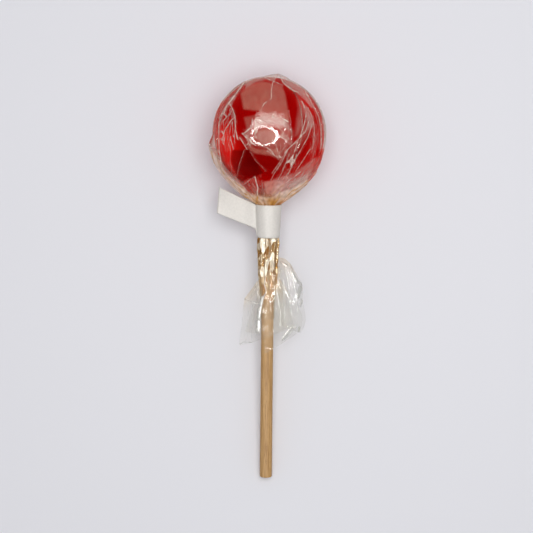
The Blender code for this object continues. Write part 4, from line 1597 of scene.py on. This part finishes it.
    def reddened(self, across: float, along: float) -> float:
        """Work out the painted red cast that the candy gives the film between it and the label.

        Args:
            across: A place's millimetres across.
            along: Its millimetres along the stick.

        Returns:
            The redness, from 0 to 1.
        """
        middle = 1.0 - smooth_step((abs(across + 2.0) - 6.0) / 5.0)
        middle *= smooth_step((along - 12.0) / 4.0) * (1.0 - smooth_step((along - 20.5) / 3.0))
        return middle

    def point_at(self, across: float, down: float) -> FilmPoint:
        """Work out one place of the sheet.

        Args:
            across: A share of the sheet's width, which goes round the stick.
            down: A share of its length, from the point over the ball.

        Returns:
            The film at that place.
        """
        angle = FULL_TURN * across + self.crowding * math.cos(FULL_TURN * across)
        polar, along = self.station(down)
        gather = smooth_step((along - self.gather_from) / self.gather_over)
        seen = polar
        if polar >= 90.0:
            seen = 90.0 + math.degrees(math.atan2(along, self.radius(along, angle)))
        turned, lifted = self.folded(angle, seen, gather)
        if polar < 90.0:
            radius = self.ball_radius * math.sin(math.radians(polar))
        else:
            radius = self.radius(along, turned)
        point = around(radius, turned, along)
        outward = point.normalized() if along < self.round_until else around(1.0, turned, 0.0)
        if seen < self.tip_until:
            point += outward * self.tip_rise(outward)
        looks = self.looks(point, turned, seen)
        small = self.relief(point, seen, looks["crinkle"]) * smooth_step((seen - 3.0) / 10.0)
        small = blend(small + looks["rise"], 0.03, 0.95 * looks["taut"])
        offset = (lifted + small) * blend(1.0, 0.3, smooth_step((along - 26.0) / 2.0))
        return FilmPoint(
            point + outward * offset, looks["haze"], looks["warm"],
            bunch=max(self.bunched(point.x, turned, along), looks["painted_crease_shade"]),
            blush=max(self.reddened(point.x, along), looks["blush"]),
            shade=looks["shade"], gap=looks["gap"], line=looks["line"], strand=looks["strand"],
        )

    def build(self) -> bpy.types.Object:
        """Lay the sheet over the ball and return the finished piece."""
        material = ClearFilm("cellulose_film_taut").material()
        return lay_film("film_ball", (self.columns, self.rows), self.point_at, material)


@dataclass
class FilmTube:
    """The film bunched round the stick below the label, down to its straight cut edge.

    Lengths, and places along the stick, are in millimetres.
    """

    start: float = 33.6
    end: float = 71.8
    profile: tuple[tuple[float, float], ...] = (
        (33.6, 3.9), (40.0, 3.7), (41.4, 3.85), (44.0, 3.7), (48.0, 3.45), (57.0, 3.3), (62.0, 3.0),
        (68.0, 2.75), (72.0, 2.66),
    )
    # Where it swells out of the label, gets loose and loses some of its painted highlight, and over what
    # lengths
    label_end: float = 39.0
    swell_over: float = 2.0
    tight_until: float = 52.5
    loose_over: float = 11.0
    pale_until: float = 40.0
    pale_over: float = 5.0
    clearance: float = 0.14
    folds: int = 9
    fold_depth: float = 0.42
    # How often its lumps change round the stick, and how long they are
    rope_round: float = 3.0
    rope_length: float = 3.6
    columns: int = 220
    rows: int = 120

    def mean_radius(self, along: float) -> float:
        """Read the tube's mean radius from its profile.

        Args:
            along: A place's millimetres along the stick.

        Returns:
            The radius in millimetres.
        """
        for (start, first), (end, second) in zip(self.profile, self.profile[1:]):
            if along <= end:
                return blend(first, second, (along - start) / (end - start))
        return self.profile[-1][1]

    def point_at(self, across: float, down: float) -> FilmPoint:
        """Work out one place of the sheet.

        Args:
            across: A share of the sheet's width, which goes round the stick.
            down: A share of its length, from the label.

        Returns:
            The film at that place.
        """
        angle = FULL_TURN * across
        along = blend(self.start, self.end, down)
        tight = 1.0 - smooth_step((along - self.tight_until) / self.loose_over)
        under = 1.0 - smooth_step((along - self.label_end) / self.swell_over)
        lower = smooth_step((along - self.pale_until) / self.pale_over)
        ripple = self.folds * angle + 1.2 * math.sin(2.0 * angle + 1.0) + 0.5 * math.sin(0.21 * along)
        turned = angle + tight * 0.7 * math.sin(ripple) / self.folds
        side = smooth_step((abs(math.cos(turned)) - 0.35) / 0.5)
        rope = around(self.rope_round, turned, along / self.rope_length)
        lumps = noise.noise(rope / 1.4)
        gaps, cells = noise.voronoi(rope / 0.85)
        ridge = max(0.0, 1.0 - 3.0 * (gaps[1] - gaps[0]))
        facet = noise.noise(5.3 * cells[0])
        offset = blend(0.05, self.fold_depth, tight) * math.sin(ripple)
        offset += blend(0.04, 0.3, tight) * lumps + blend(0.02, 0.14, tight) * (ridge + 1.5 * facet)
        radius = self.mean_radius(along) + offset * blend(1.0, 0.35, under)
        # Paler along the tube's top and browner at its sides: painted highlight and painted shade, broken up
        # by lumps and facets
        bright = smooth_step(0.7 + 1.6 * facet + 0.5 * lumps - 0.5 * side - 0.3 * lower)
        brown_and_side_shade = smooth_step((0.3 * side + 0.15 * lower - facet - 0.18) / 0.3)
        return FilmPoint(
            around(max(radius, STICK_RADIUS + self.clearance), turned, along),
            haze=blend(0.04 + 0.06 * bright, 0.2 + 0.8 * bright + 0.25 * ridge, tight),
            bunch=blend(0.1, 0.15 + 0.85 * brown_and_side_shade, tight),
        )

    def build(self) -> bpy.types.Object:
        """Wind the sheet round the stick.

        Returns:
            The finished piece.
        """
        material = ClearFilm(
            "cellulose_film_bunched", tan="#FCF4E0", amber="#EED8A8", white_milk="#FFF8E8",
            gold_milk="#DCC494", haze_share=0.7, glint=0.35, face_mirror=0.02,
        ).material()
        return lay_film("film_tube", (self.columns, self.rows), self.point_at, material)


def through(points: list[Vector], share: float) -> Vector:
    """Find a place on a smooth curve through evenly spaced points.

    Args:
        points: The points.
        share: The share of the way from the first to the last.

    Returns:
        The place.
    """
    step = min(share, 0.9999) * (len(points) - 1)
    first = int(step)
    part = step - first
    before, start, end, after = (
        points[min(max(first + shift, 0), len(points) - 1)] for shift in (-1, 0, 1, 2)
    )
    bend = (2.0 * before - 5.0 * start + 4.0 * end - after) * part ** 2
    twist = (3.0 * start - before - 3.0 * end + after) * part ** 3
    return 0.5 * (2.0 * start + (end - before) * part + bend + twist)


@dataclass
class Flap:
    """One loose sheet of the skirt, bent through a grid of measured points.

    Attributes:
        name: The piece's name.
        grid: Points across, up and along in millimetres, in rows from the tube to the free edge.
        creases: The sharp lines pressed into it.
        depth: How far its own crinkles move it, in millimetres.
        haze: How milky it is, partly as painted highlight.
        seed: Picks its crinkles.
        size: Faces across and down the sheet.
        crinkle_size: The size of its crinkles, in millimetres.
        fine_size: The size of its finest unevenness, in millimetres.
        edge_from: The share of the way to its edge from which the edge shows.
    """

    name: str
    grid: tuple[tuple[tuple[float, float, float], ...], ...]
    creases: tuple[Crease, ...]
    depth: float
    haze: float
    seed: int
    size: tuple[int, int] = (80, 96)
    crinkle_size: float = 4.2
    fine_size: float = 2.2
    edge_from: float = 0.97

    def point_at(self, across: float, down: float) -> FilmPoint:
        """Work out one place of the sheet.

        Args:
            across: A share of the sheet's width.
            down: A share of its length, from the tube.

        Returns:
            The film at that place.
        """
        rows = [through([Vector(point) for point in row], across) for row in self.grid]
        place = through(rows, down)
        rise, gap, line = pressed(self.creases, place.x, place.z)
        here = Vector((place.x, 0.6 * place.z, 7.3 * self.seed))
        near = noise.voronoi(here / self.crinkle_size)[0]
        fold = max(0.0, 1.0 - 1.6 * (near[1] - near[0]))
        fine = noise.noise(here / self.fine_size)
        fan = noise.noise(Vector((9.0 * across, 2.2 * down, float(self.seed))))
        outer = max(down, abs(2.0 * across - 1.0))
        edge = smooth_step((outer - self.edge_from) / 0.03)
        start = smooth_step(4.0 * down)
        place.y += rise + self.depth * (fold + 0.45 * fine) * blend(0.5, 1.0, start)
        # Milkier on its folds and its free edge, partly the film's own milkiness and partly painted
        # highlight, and milkier at random
        haze = self.haze * (1.0 + 0.9 * fan + 0.5 * fold) + 0.1 * edge
        haze += 0.1 * (1.0 - start) * max(fan, 0.0)
        bunch = 0.2 * (1.0 - smooth_step(2.5 * down))
        return FilmPoint(place, max(haze, 0.0), 0.1, bunch=bunch, gap=gap, line=line)


FLAPS = (
    Flap(
        "film_flap_front",
        (
            ((-9.0, -0.2, 64.2), (-6.3, 1.4, 60.3), (-3.6, 2.9, 56.4), (0.4, 4.2, 53.8), (4.5, 3.2, 50.8)),
            ((-9.5, -0.8, 69.1), (-6.6, 1.0, 67.1), (-3.5, 2.6, 64.7), (0.5, 4.4, 63.5), (5.1, 3.9, 60.0)),
            ((-10.1, -1.6, 75.6), (-6.8, 0.4, 74.0), (-3.1, 2.7, 72.1), (1.0, 4.0, 70.6), (6.4, 3.4, 67.9)),
            ((-11.0, -3.0, 83.2), (-6.9, -0.6, 81.9), (-2.1, 2.7, 79.5), (2.6, 3.4, 77.4), (7.8, 2.2, 75.0)),
        ),
        (
            Crease(((-8.9, 64.3), (-5.9, 65.4), (-3.6, 65.9)), 0.15, 0.35, 0.50),
            Crease(((-2.2, 63.5), (-3.1, 67.8), (-3.5, 71.4)), 0.30, 0.90, 0.85),
            Crease(((-3.6, 73.0), (-3.9, 76.6)), 0.30, 1.10, 0.95),
            Crease(((-4.8, 81.2), (-7.1, 81.6), (-9.5, 81.8), (-10.4, 82.7)), 0.10, 0.30, 0.60),
            Crease(((-7.4, 65.8), (-8.1, 81.2)), 0.06, 0.30, 0.12),
            Crease(((-5.9, 66.0), (-6.1, 80.6)), 0.06, 0.30, 0.14),
            Crease(((-4.0, 57.0), (-5.3, 61.3), (-6.4, 63.3)), 0.25, 0.35, 0.80),
            Crease(((-3.4, 58.1), (-4.1, 61.2), (-3.3, 63.5)), 0.25, 0.40, 0.70),
            Crease(((-0.7, 54.7), (-1.4, 57.8), (-0.5, 60.5), (-2.0, 64.0)), 0.20, 0.35, 0.60),
            Crease(((3.4, 59.8), (4.2, 64.1), (5.1, 69.1), (4.9, 74.6)), 0.15, 0.35, 0.50),
        ),
        0.12, 0.015, 1,
    ),
    Flap(
        "film_flap_right",
        (
            ((3.7, 2.4, 47.6), (5.0, 2.6, 47.6), (6.9, 2.8, 48.3), (8.7, 2.4, 50.1)),
            ((3.9, 3.2, 50.8), (6.4, 4.8, 51.1), (9.1, 4.6, 52.1), (11.1, 3.2, 54.1)),
            ((4.1, 3.4, 55.8), (7.4, 5.6, 56.1), (10.7, 5.2, 56.9), (13.4, 3.0, 58.5)),
            ((4.2, 3.0, 61.8), (7.1, 5.0, 62.2), (10.2, 5.4, 63.1), (13.6, 3.2, 64.3)),
            ((4.5, 2.6, 68.1), (7.9, 4.4, 68.5), (11.4, 4.6, 69.4), (14.8, 1.6, 72.1)),
            ((4.5, 2.0, 73.7), (7.6, 3.2, 75.0), (10.4, 3.2, 76.0), (13.1, 0.2, 77.4)),
        ),
        (
            Crease(((5.2, 49.3), (5.9, 49.6), (7.3, 50.3)), 0.25, 0.60, 0.90),
            Crease(((8.9, 50.5), (9.5, 51.7)), 0.20, 0.60, 0.80),
            Crease(((5.1, 52.1), (4.7, 54.8)), 0.20, 0.50, 0.80),
            Crease(((9.4, 53.1), (10.1, 54.6), (11.3, 56.5), (13.2, 58.3)), 0.30, 0.70, 0.95),
            Crease(((12.7, 59.0), (12.3, 60.6), (11.5, 62.4)), 0.30, 1.30, 0.95),
            Crease(((6.3, 59.5), (7.1, 61.0), (7.8, 62.6)), 0.25, 0.50, 0.85),
            Crease(((13.1, 64.3), (12.7, 65.9)), 0.25, 0.70, 0.75),
            Crease(((6.2, 50.5), (7.8, 56.0), (8.2, 63.7), (9.5, 70.8)), 0.20, 0.35, 0.30),
            Crease(((8.5, 51.3), (10.9, 59.8), (11.8, 68.4)), 0.20, 0.35, 0.30),
            Crease(((5.9, 56.1), (6.3, 63.8), (6.6, 72.5)), 0.20, 0.35, 0.35),
        ),
        0.35, 0.03, 2,
    ),
    Flap(
        "film_flap_low",
        (
            ((-2.2, 3.0, 58.7), (0.5, 3.8, 57.4), (3.2, 3.4, 56.6), (4.7, 2.2, 56.0)),
            ((-2.2, 2.8, 67.4), (1.0, 3.4, 66.4), (5.6, 2.8, 64.9), (9.5, 0.8, 63.6)),
            ((-1.8, 2.8, 76.4), (1.8, 3.1, 75.1), (7.6, 1.8, 72.9), (13.5, -0.8, 71.0)),
            ((-1.0, 2.6, 85.1), (2.8, 2.8, 83.1), (7.5, 1.0, 80.4), (12.6, -1.4, 77.2)),
        ),
        (
            Crease(((9.4, 75.5), (7.7, 77.5), (6.3, 79.5)), 0.25, 0.90, 0.90),
            Crease(((11.2, 74.6), (9.2, 77.4), (7.3, 79.4)), 0.20, 0.40, 0.60),
            Crease(((12.5, 75.6), (12.4, 77.2)), 0.20, 0.70, 0.90),
        ),
        0.20, 0.015, 3,
    ),
    Flap(
        "film_flap_under",
        (
            ((-2.6, -2.9, 58.8), (-0.7, -3.6, 58.1), (1.7, -3.6, 58.1), (4.0, -2.9, 57.6)),
            ((-4.5, -4.2, 65.4), (-1.4, -5.2, 65.1), (2.5, -5.4, 64.7), (6.4, -4.0, 63.7)),
            ((-6.8, -5.2, 72.0), (-2.1, -6.2, 72.1), (3.4, -6.6, 71.7), (8.8, -5.0, 69.8)),
            ((-8.8, -6.2, 78.2), (-2.8, -7.0, 79.5), (3.9, -7.4, 79.1), (10.5, -5.6, 75.8)),
        ),
        (),
        0.35, 0.02, 4,
    ),
)


@dataclass
class FilmSkirt:
    """The loose flaps of film that flare out below the tube."""

    flaps: tuple[Flap, ...] = FLAPS

    def build(self) -> list[bpy.types.Object]:
        """Bend every flap.

        Returns:
            The finished pieces.
        """
        material = ClearFilm(
            "cellulose_film_loose", tint="#FEFEFD", white_milk="#FFFFFA", glint=0.5, line_glint=0.0,
            face_mirror=0.012, haze_share=0.7,
        ).material()
        return [lay_film(flap.name, flap.size, flap.point_at, material) for flap in self.flaps]


# Label


@dataclass
class PaperLabel:
    """One strip of paper tape round the neck, with its ends stuck together as a flag.

    Lengths, and places along the stick, are in millimetres.
    """

    top: float = LABEL_TOP
    bottom: float = 40.0
    top_radius: float = LABEL_TOP_RADIUS
    bottom_radius: float = 4.35
    thickness: float = 0.14
    # Half the angle of the gap where the strip leaves the band, in radians
    meet: float = math.radians(12.0)
    # The two corners of the flag's tip, and how far they hang down
    tip_across: tuple[float, float] = (-19.2, -19.9)
    tip_along: tuple[float, float] = (21.2, 31.1)
    droop: tuple[float, float] = (3.5, 1.0)
    # The flag's share of the band's width, where it narrows, and its layers' gap in thicknesses
    flag_width: float = 0.76
    root_share: float = 0.04
    layer_gap: float = 0.52
    # Waves of the flag and of the band
    curl: float = 0.35
    buckle: float = 0.06
    flag_steps: int = 26
    band_steps: int = 72
    rows: int = 20

    def band_radius(self, down: float) -> float:
        """Return the radius of the paper's middle at a share of the way down the band."""
        return blend(self.top_radius, self.bottom_radius, down) - self.thickness / 2.0

    def flag_point(self, side: float, out: float, down: float) -> Vector:
        """Find a place on the flag.

        Args:
            side: 1 for the layer that faces up, -1 for the one under it.
            out: Share of the way from the band to the tip.
            down: Share of the way down the strip.

        Returns:
            The place in the stick's frame.
        """
        down_root = down * blend(1.0, self.flag_width, smooth_step(out / self.root_share))
        along = blend(self.top, self.bottom, down_root)
        root = around(self.band_radius(down_root), math.pi - side * self.meet, along)
        tip_x = blend(self.tip_across[0], self.tip_across[1], down)
        tip_z = blend(self.tip_along[0], self.tip_along[1], down)
        height = blend(root.y, side * self.thickness * self.layer_gap, smooth_step(out * 3.0))
        height -= blend(self.droop[0], self.droop[1], down) * out ** 2
        height += self.curl * math.sin(3.0 * out + 2.0 * down) * out
        return Vector((blend(root.x, tip_x, out), height, blend(root.z, tip_z, out)))

    def band_point(self, share: float, down: float) -> Vector:
        """Find a place on the band.

        Args:
            share: Share of the way round the band.
            down: Share of the way down the strip.

        Returns:
            The place in the stick's frame.
        """
        angle = math.pi - self.meet - share * (FULL_TURN - 2.0 * self.meet)
        wave = self.buckle * math.sin(7.0 * angle + 2.0 * down) * math.sin(math.pi * share)
        return around(self.band_radius(down) + wave, angle, blend(self.top, self.bottom, down))

    def strip_point(self, step: float, down: float) -> Vector:
        """Find a place on the strip.

        Args:
            step: Faces along the strip, from the tip of the layer that faces up.
            down: Share of the way down the strip.

        Returns:
            The place in the stick's frame.
        """
        past_band = step - self.flag_steps - self.band_steps
        if step < self.flag_steps:
            return self.flag_point(1.0, 1.0 - step / self.flag_steps, down)
        if past_band > 0:
            return self.flag_point(-1.0, past_band / self.flag_steps, down)
        return self.band_point((step - self.flag_steps) / self.band_steps, down)

    def build(self) -> bpy.types.Object:
        """Bend the strip round the neck.

        Returns:
            The finished piece.
        """
        bm = bmesh.new()
        steps = 2 * self.flag_steps + self.band_steps
        bmesh.ops.create_grid(bm, x_segments=steps, y_segments=self.rows, size=0.5)
        for vert in bm.verts:
            vert.co = self.strip_point((vert.co.x + 0.5) * steps, vert.co.y + 0.5)
        bmesh.ops.recalc_face_normals(bm, faces=bm.faces)
        piece = make_piece("neck_label", bm, PaperTape().material(), Node.LABEL)
        give_wall(piece, self.thickness)
        return piece


# Studio


@dataclass(frozen=True)
class AreaLight:
    """A soft rectangular light that faces straight down.

    Attributes:
        name: Its name.
        size: Its width and length in metres.
        place: Where its middle hangs, in metres.
        power: Its power in watts.
        colour: Its colour as sRGB hex.
        mirrored: True for a card that is only seen in gloss, False for one that only lights.
    """

    name: str
    size: tuple[float, float]
    place: tuple[float, float, float]
    power: float
    colour: str
    mirrored: bool

    def hang(self) -> None:
        """Add the light to the scene."""
        data = bpy.data.lights.new(self.name, "AREA")
        data.shape = "RECTANGLE"
        data.size, data.size_y = self.size
        data.energy = self.power
        data.color = linear(self.colour)[:3]
        light = bpy.data.objects.new(self.name, data)
        light.location = self.place
        light.visible_camera = False
        light.visible_glossy = self.mirrored
        light.visible_diffuse = not self.mirrored
        bpy.context.collection.objects.link(light)


@dataclass
class Studio:
    """The pale board, the soft lights and the camera that looks straight down."""

    # The camera, in metres, radians and pixels of the photo
    camera_place: tuple[float, float, float] = (-0.00055, -0.05099, 0.6)
    camera_turn: float = math.radians(0.58)
    focal_pixels: float = 1512.5
    image_pixels: float = 533.0
    sensor: float = 36.0
    # Half the board's width, and how far it lies under the lollipop, in metres
    floor_half: float = 3.0
    floor_drop: float = 0.00005
    # The ring light in metres, and its widths as shares of its half width
    ring_place: tuple[float, float, float] = (-0.14, -0.12, 0.62)
    ring_half: tuple[float, float] = (0.28, 0.195)
    ring_strength: float = 34.0
    ring_width: float = 0.06
    ring_right: float = 0.13
    ring_lower: float = 0.1
    ring_lower_turn: float = math.radians(235.0)
    # The room's even light, and what gloss mirrors of it from below to above
    room: str = "#F3F3F7"
    room_strength: float = 0.45
    room_gloss: tuple[tuple[float, str], ...] = (
        (0.0, "#F9F6F7"), (0.02, "#CBBCBC"), (0.06, "#7C6262"), (0.26, "#393131"), (0.6, "#000000"),
    )
    lights: tuple[AreaLight, ...] = (
        AreaLight("soft_top", (0.4, 0.4), (0.05, 0.0, 0.62), 2.15, "#FFFFFF", False),
        AreaLight("card_near", (2.3, 0.72), (-0.15, -0.26, 1.0), 1.8, "#FFF2EE", True),
        AreaLight("card_far", (1.2, 0.65), (0.0, 0.43, 1.0), 8.5, "#FFF4F2", True),
    )
    # How many layers of film light can pass through
    film_layers: int = 48

    def add_camera(self) -> None:
        """Make the camera at the photo's angle."""
        data = bpy.data.cameras.new("camera")
        data.sensor_width = self.sensor
        data.lens = self.sensor * self.focal_pixels / self.image_pixels
        data.clip_start = 0.01
        data.clip_end = 20.0
        camera = bpy.data.objects.new("camera", data)
        camera.location = self.camera_place
        camera.rotation_euler = (0.0, 0.0, self.camera_turn)
        bpy.context.collection.objects.link(camera)
        bpy.context.scene.camera = camera

    def stage_mesh(
        self, name: str, bm: bmesh.types.BMesh, material: bpy.types.Material,
    ) -> bpy.types.Object:
        """Add a mesh that belongs to the studio and not to the lollipop.

        Args:
            name: Its name.
            bm: The mesh in the row frame, in metres. It is freed.
            material: Its material.

        Returns:
            The new object.
        """
        mesh = bpy.data.meshes.new(name)
        bm.to_mesh(mesh)
        bm.free()
        mesh.materials.append(material)
        item = bpy.data.objects.new(name, mesh)
        bpy.context.collection.objects.link(item)
        return item

    def add_floor(self) -> None:
        """Lay the pale board under the lollipop."""
        bm = bmesh.new()
        bmesh.ops.create_grid(bm, x_segments=8, y_segments=8, size=self.floor_half)
        bmesh.ops.translate(bm, verts=bm.verts, vec=(0.0, 0.0, -self.floor_drop))
        floor = self.stage_mesh("board", bm, PaintedBoard().material())
        floor.visible_glossy = False

    def add_ring(self) -> None:
        """Hang the ring light beside the camera, seen only in gloss."""
        bm = bmesh.new()
        bmesh.ops.create_circle(bm, cap_ends=False, segments=64, radius=1.0)
        wide = bmesh.ops.extrude_edge_only(bm, edges=bm.edges[:])["geom"]
        for vert in (item for item in wide if isinstance(item, bmesh.types.BMVert)):
            turn = math.atan2(vert.co.y, vert.co.x)
            right, lower = max(0.0, math.cos(turn)), max(0.0, math.cos(turn - self.ring_lower_turn))
            vert.co *= 1.0 + self.ring_width + self.ring_right * right ** 2 + self.ring_lower * lower ** 4
        bmesh.ops.scale(bm, vec=(*self.ring_half, 1.0), verts=bm.verts)
        bmesh.ops.translate(bm, verts=bm.verts, vec=self.ring_place)
        material, tree = new_material("ring_light")
        glow = add_node(
            tree, "ShaderNodeEmission", {"Color": linear("#FFFFFF"), "Strength": self.ring_strength},
        )
        finish_material(tree, glow.outputs[0])
        ring = self.stage_mesh("ring_light", bm, material)
        ring.visible_camera = False
        ring.visible_diffuse = False
        ring.visible_shadow = False

    def add_world(self) -> None:
        """Fill the room with even pale light that gloss doesn't mirror."""
        world = bpy.data.worlds.new("room")
        world.use_nodes = True
        tree = world.node_tree
        tree.nodes.clear()
        direction = add_node(tree, "ShaderNodeTexCoord")
        height = add_node(tree, "ShaderNodeSeparateXYZ", links={0: direction.outputs["Generated"]})
        share = add_node(
            tree, "ShaderNodeMapRange",
            {"From Min": -1.0, "From Max": 1.0},
            {"Value": height.outputs["Z"]},
        )
        stops = tuple((position, linear(colour)) for position, colour in self.room_gloss)
        mirrored = add_node(tree, "ShaderNodeValToRGB", {"stops": stops}, {"Fac": share.outputs[0]})
        ray = add_node(tree, "ShaderNodeLightPath")
        even = add_node(
            tree, "ShaderNodeBackground", {"Color": linear(self.room), "Strength": self.room_strength},
        )
        seen = add_node(
            tree, "ShaderNodeBackground", {"Strength": 1.0}, {"Color": mirrored.outputs["Color"]},
        )
        mixed = add_node(
            tree, "ShaderNodeMixShader",
            links={0: ray.outputs["Is Glossy Ray"], 1: even.outputs[0], 2: seen.outputs[0]},
        )
        add_node(tree, "ShaderNodeOutputWorld", links={"Surface": mixed.outputs[0]})
        bpy.context.scene.world = world

    def build(self) -> None:
        """Set up the whole studio."""
        self.add_camera()
        self.add_floor()
        self.add_world()
        self.add_ring()
        for light in self.lights:
            light.hang()
        scene = bpy.context.scene
        scene.view_settings.view_transform = "Standard"
        scene.cycles.transparent_max_bounces = self.film_layers
        LOG.info("studio: camera, board, %d soft lights and a ring light", len(self.lights))


def main() -> None:
    """Build the lollipop and its studio."""
    logging.basicConfig(level=logging.INFO, format="%(name)s: %(message)s")
    Candy().build()
    Dowel().build()
    FilmBall().build()
    FilmTube().build()
    FilmSkirt().build()
    PaperLabel().build()
    Studio().build()


if __name__ == "__main__":
    main()
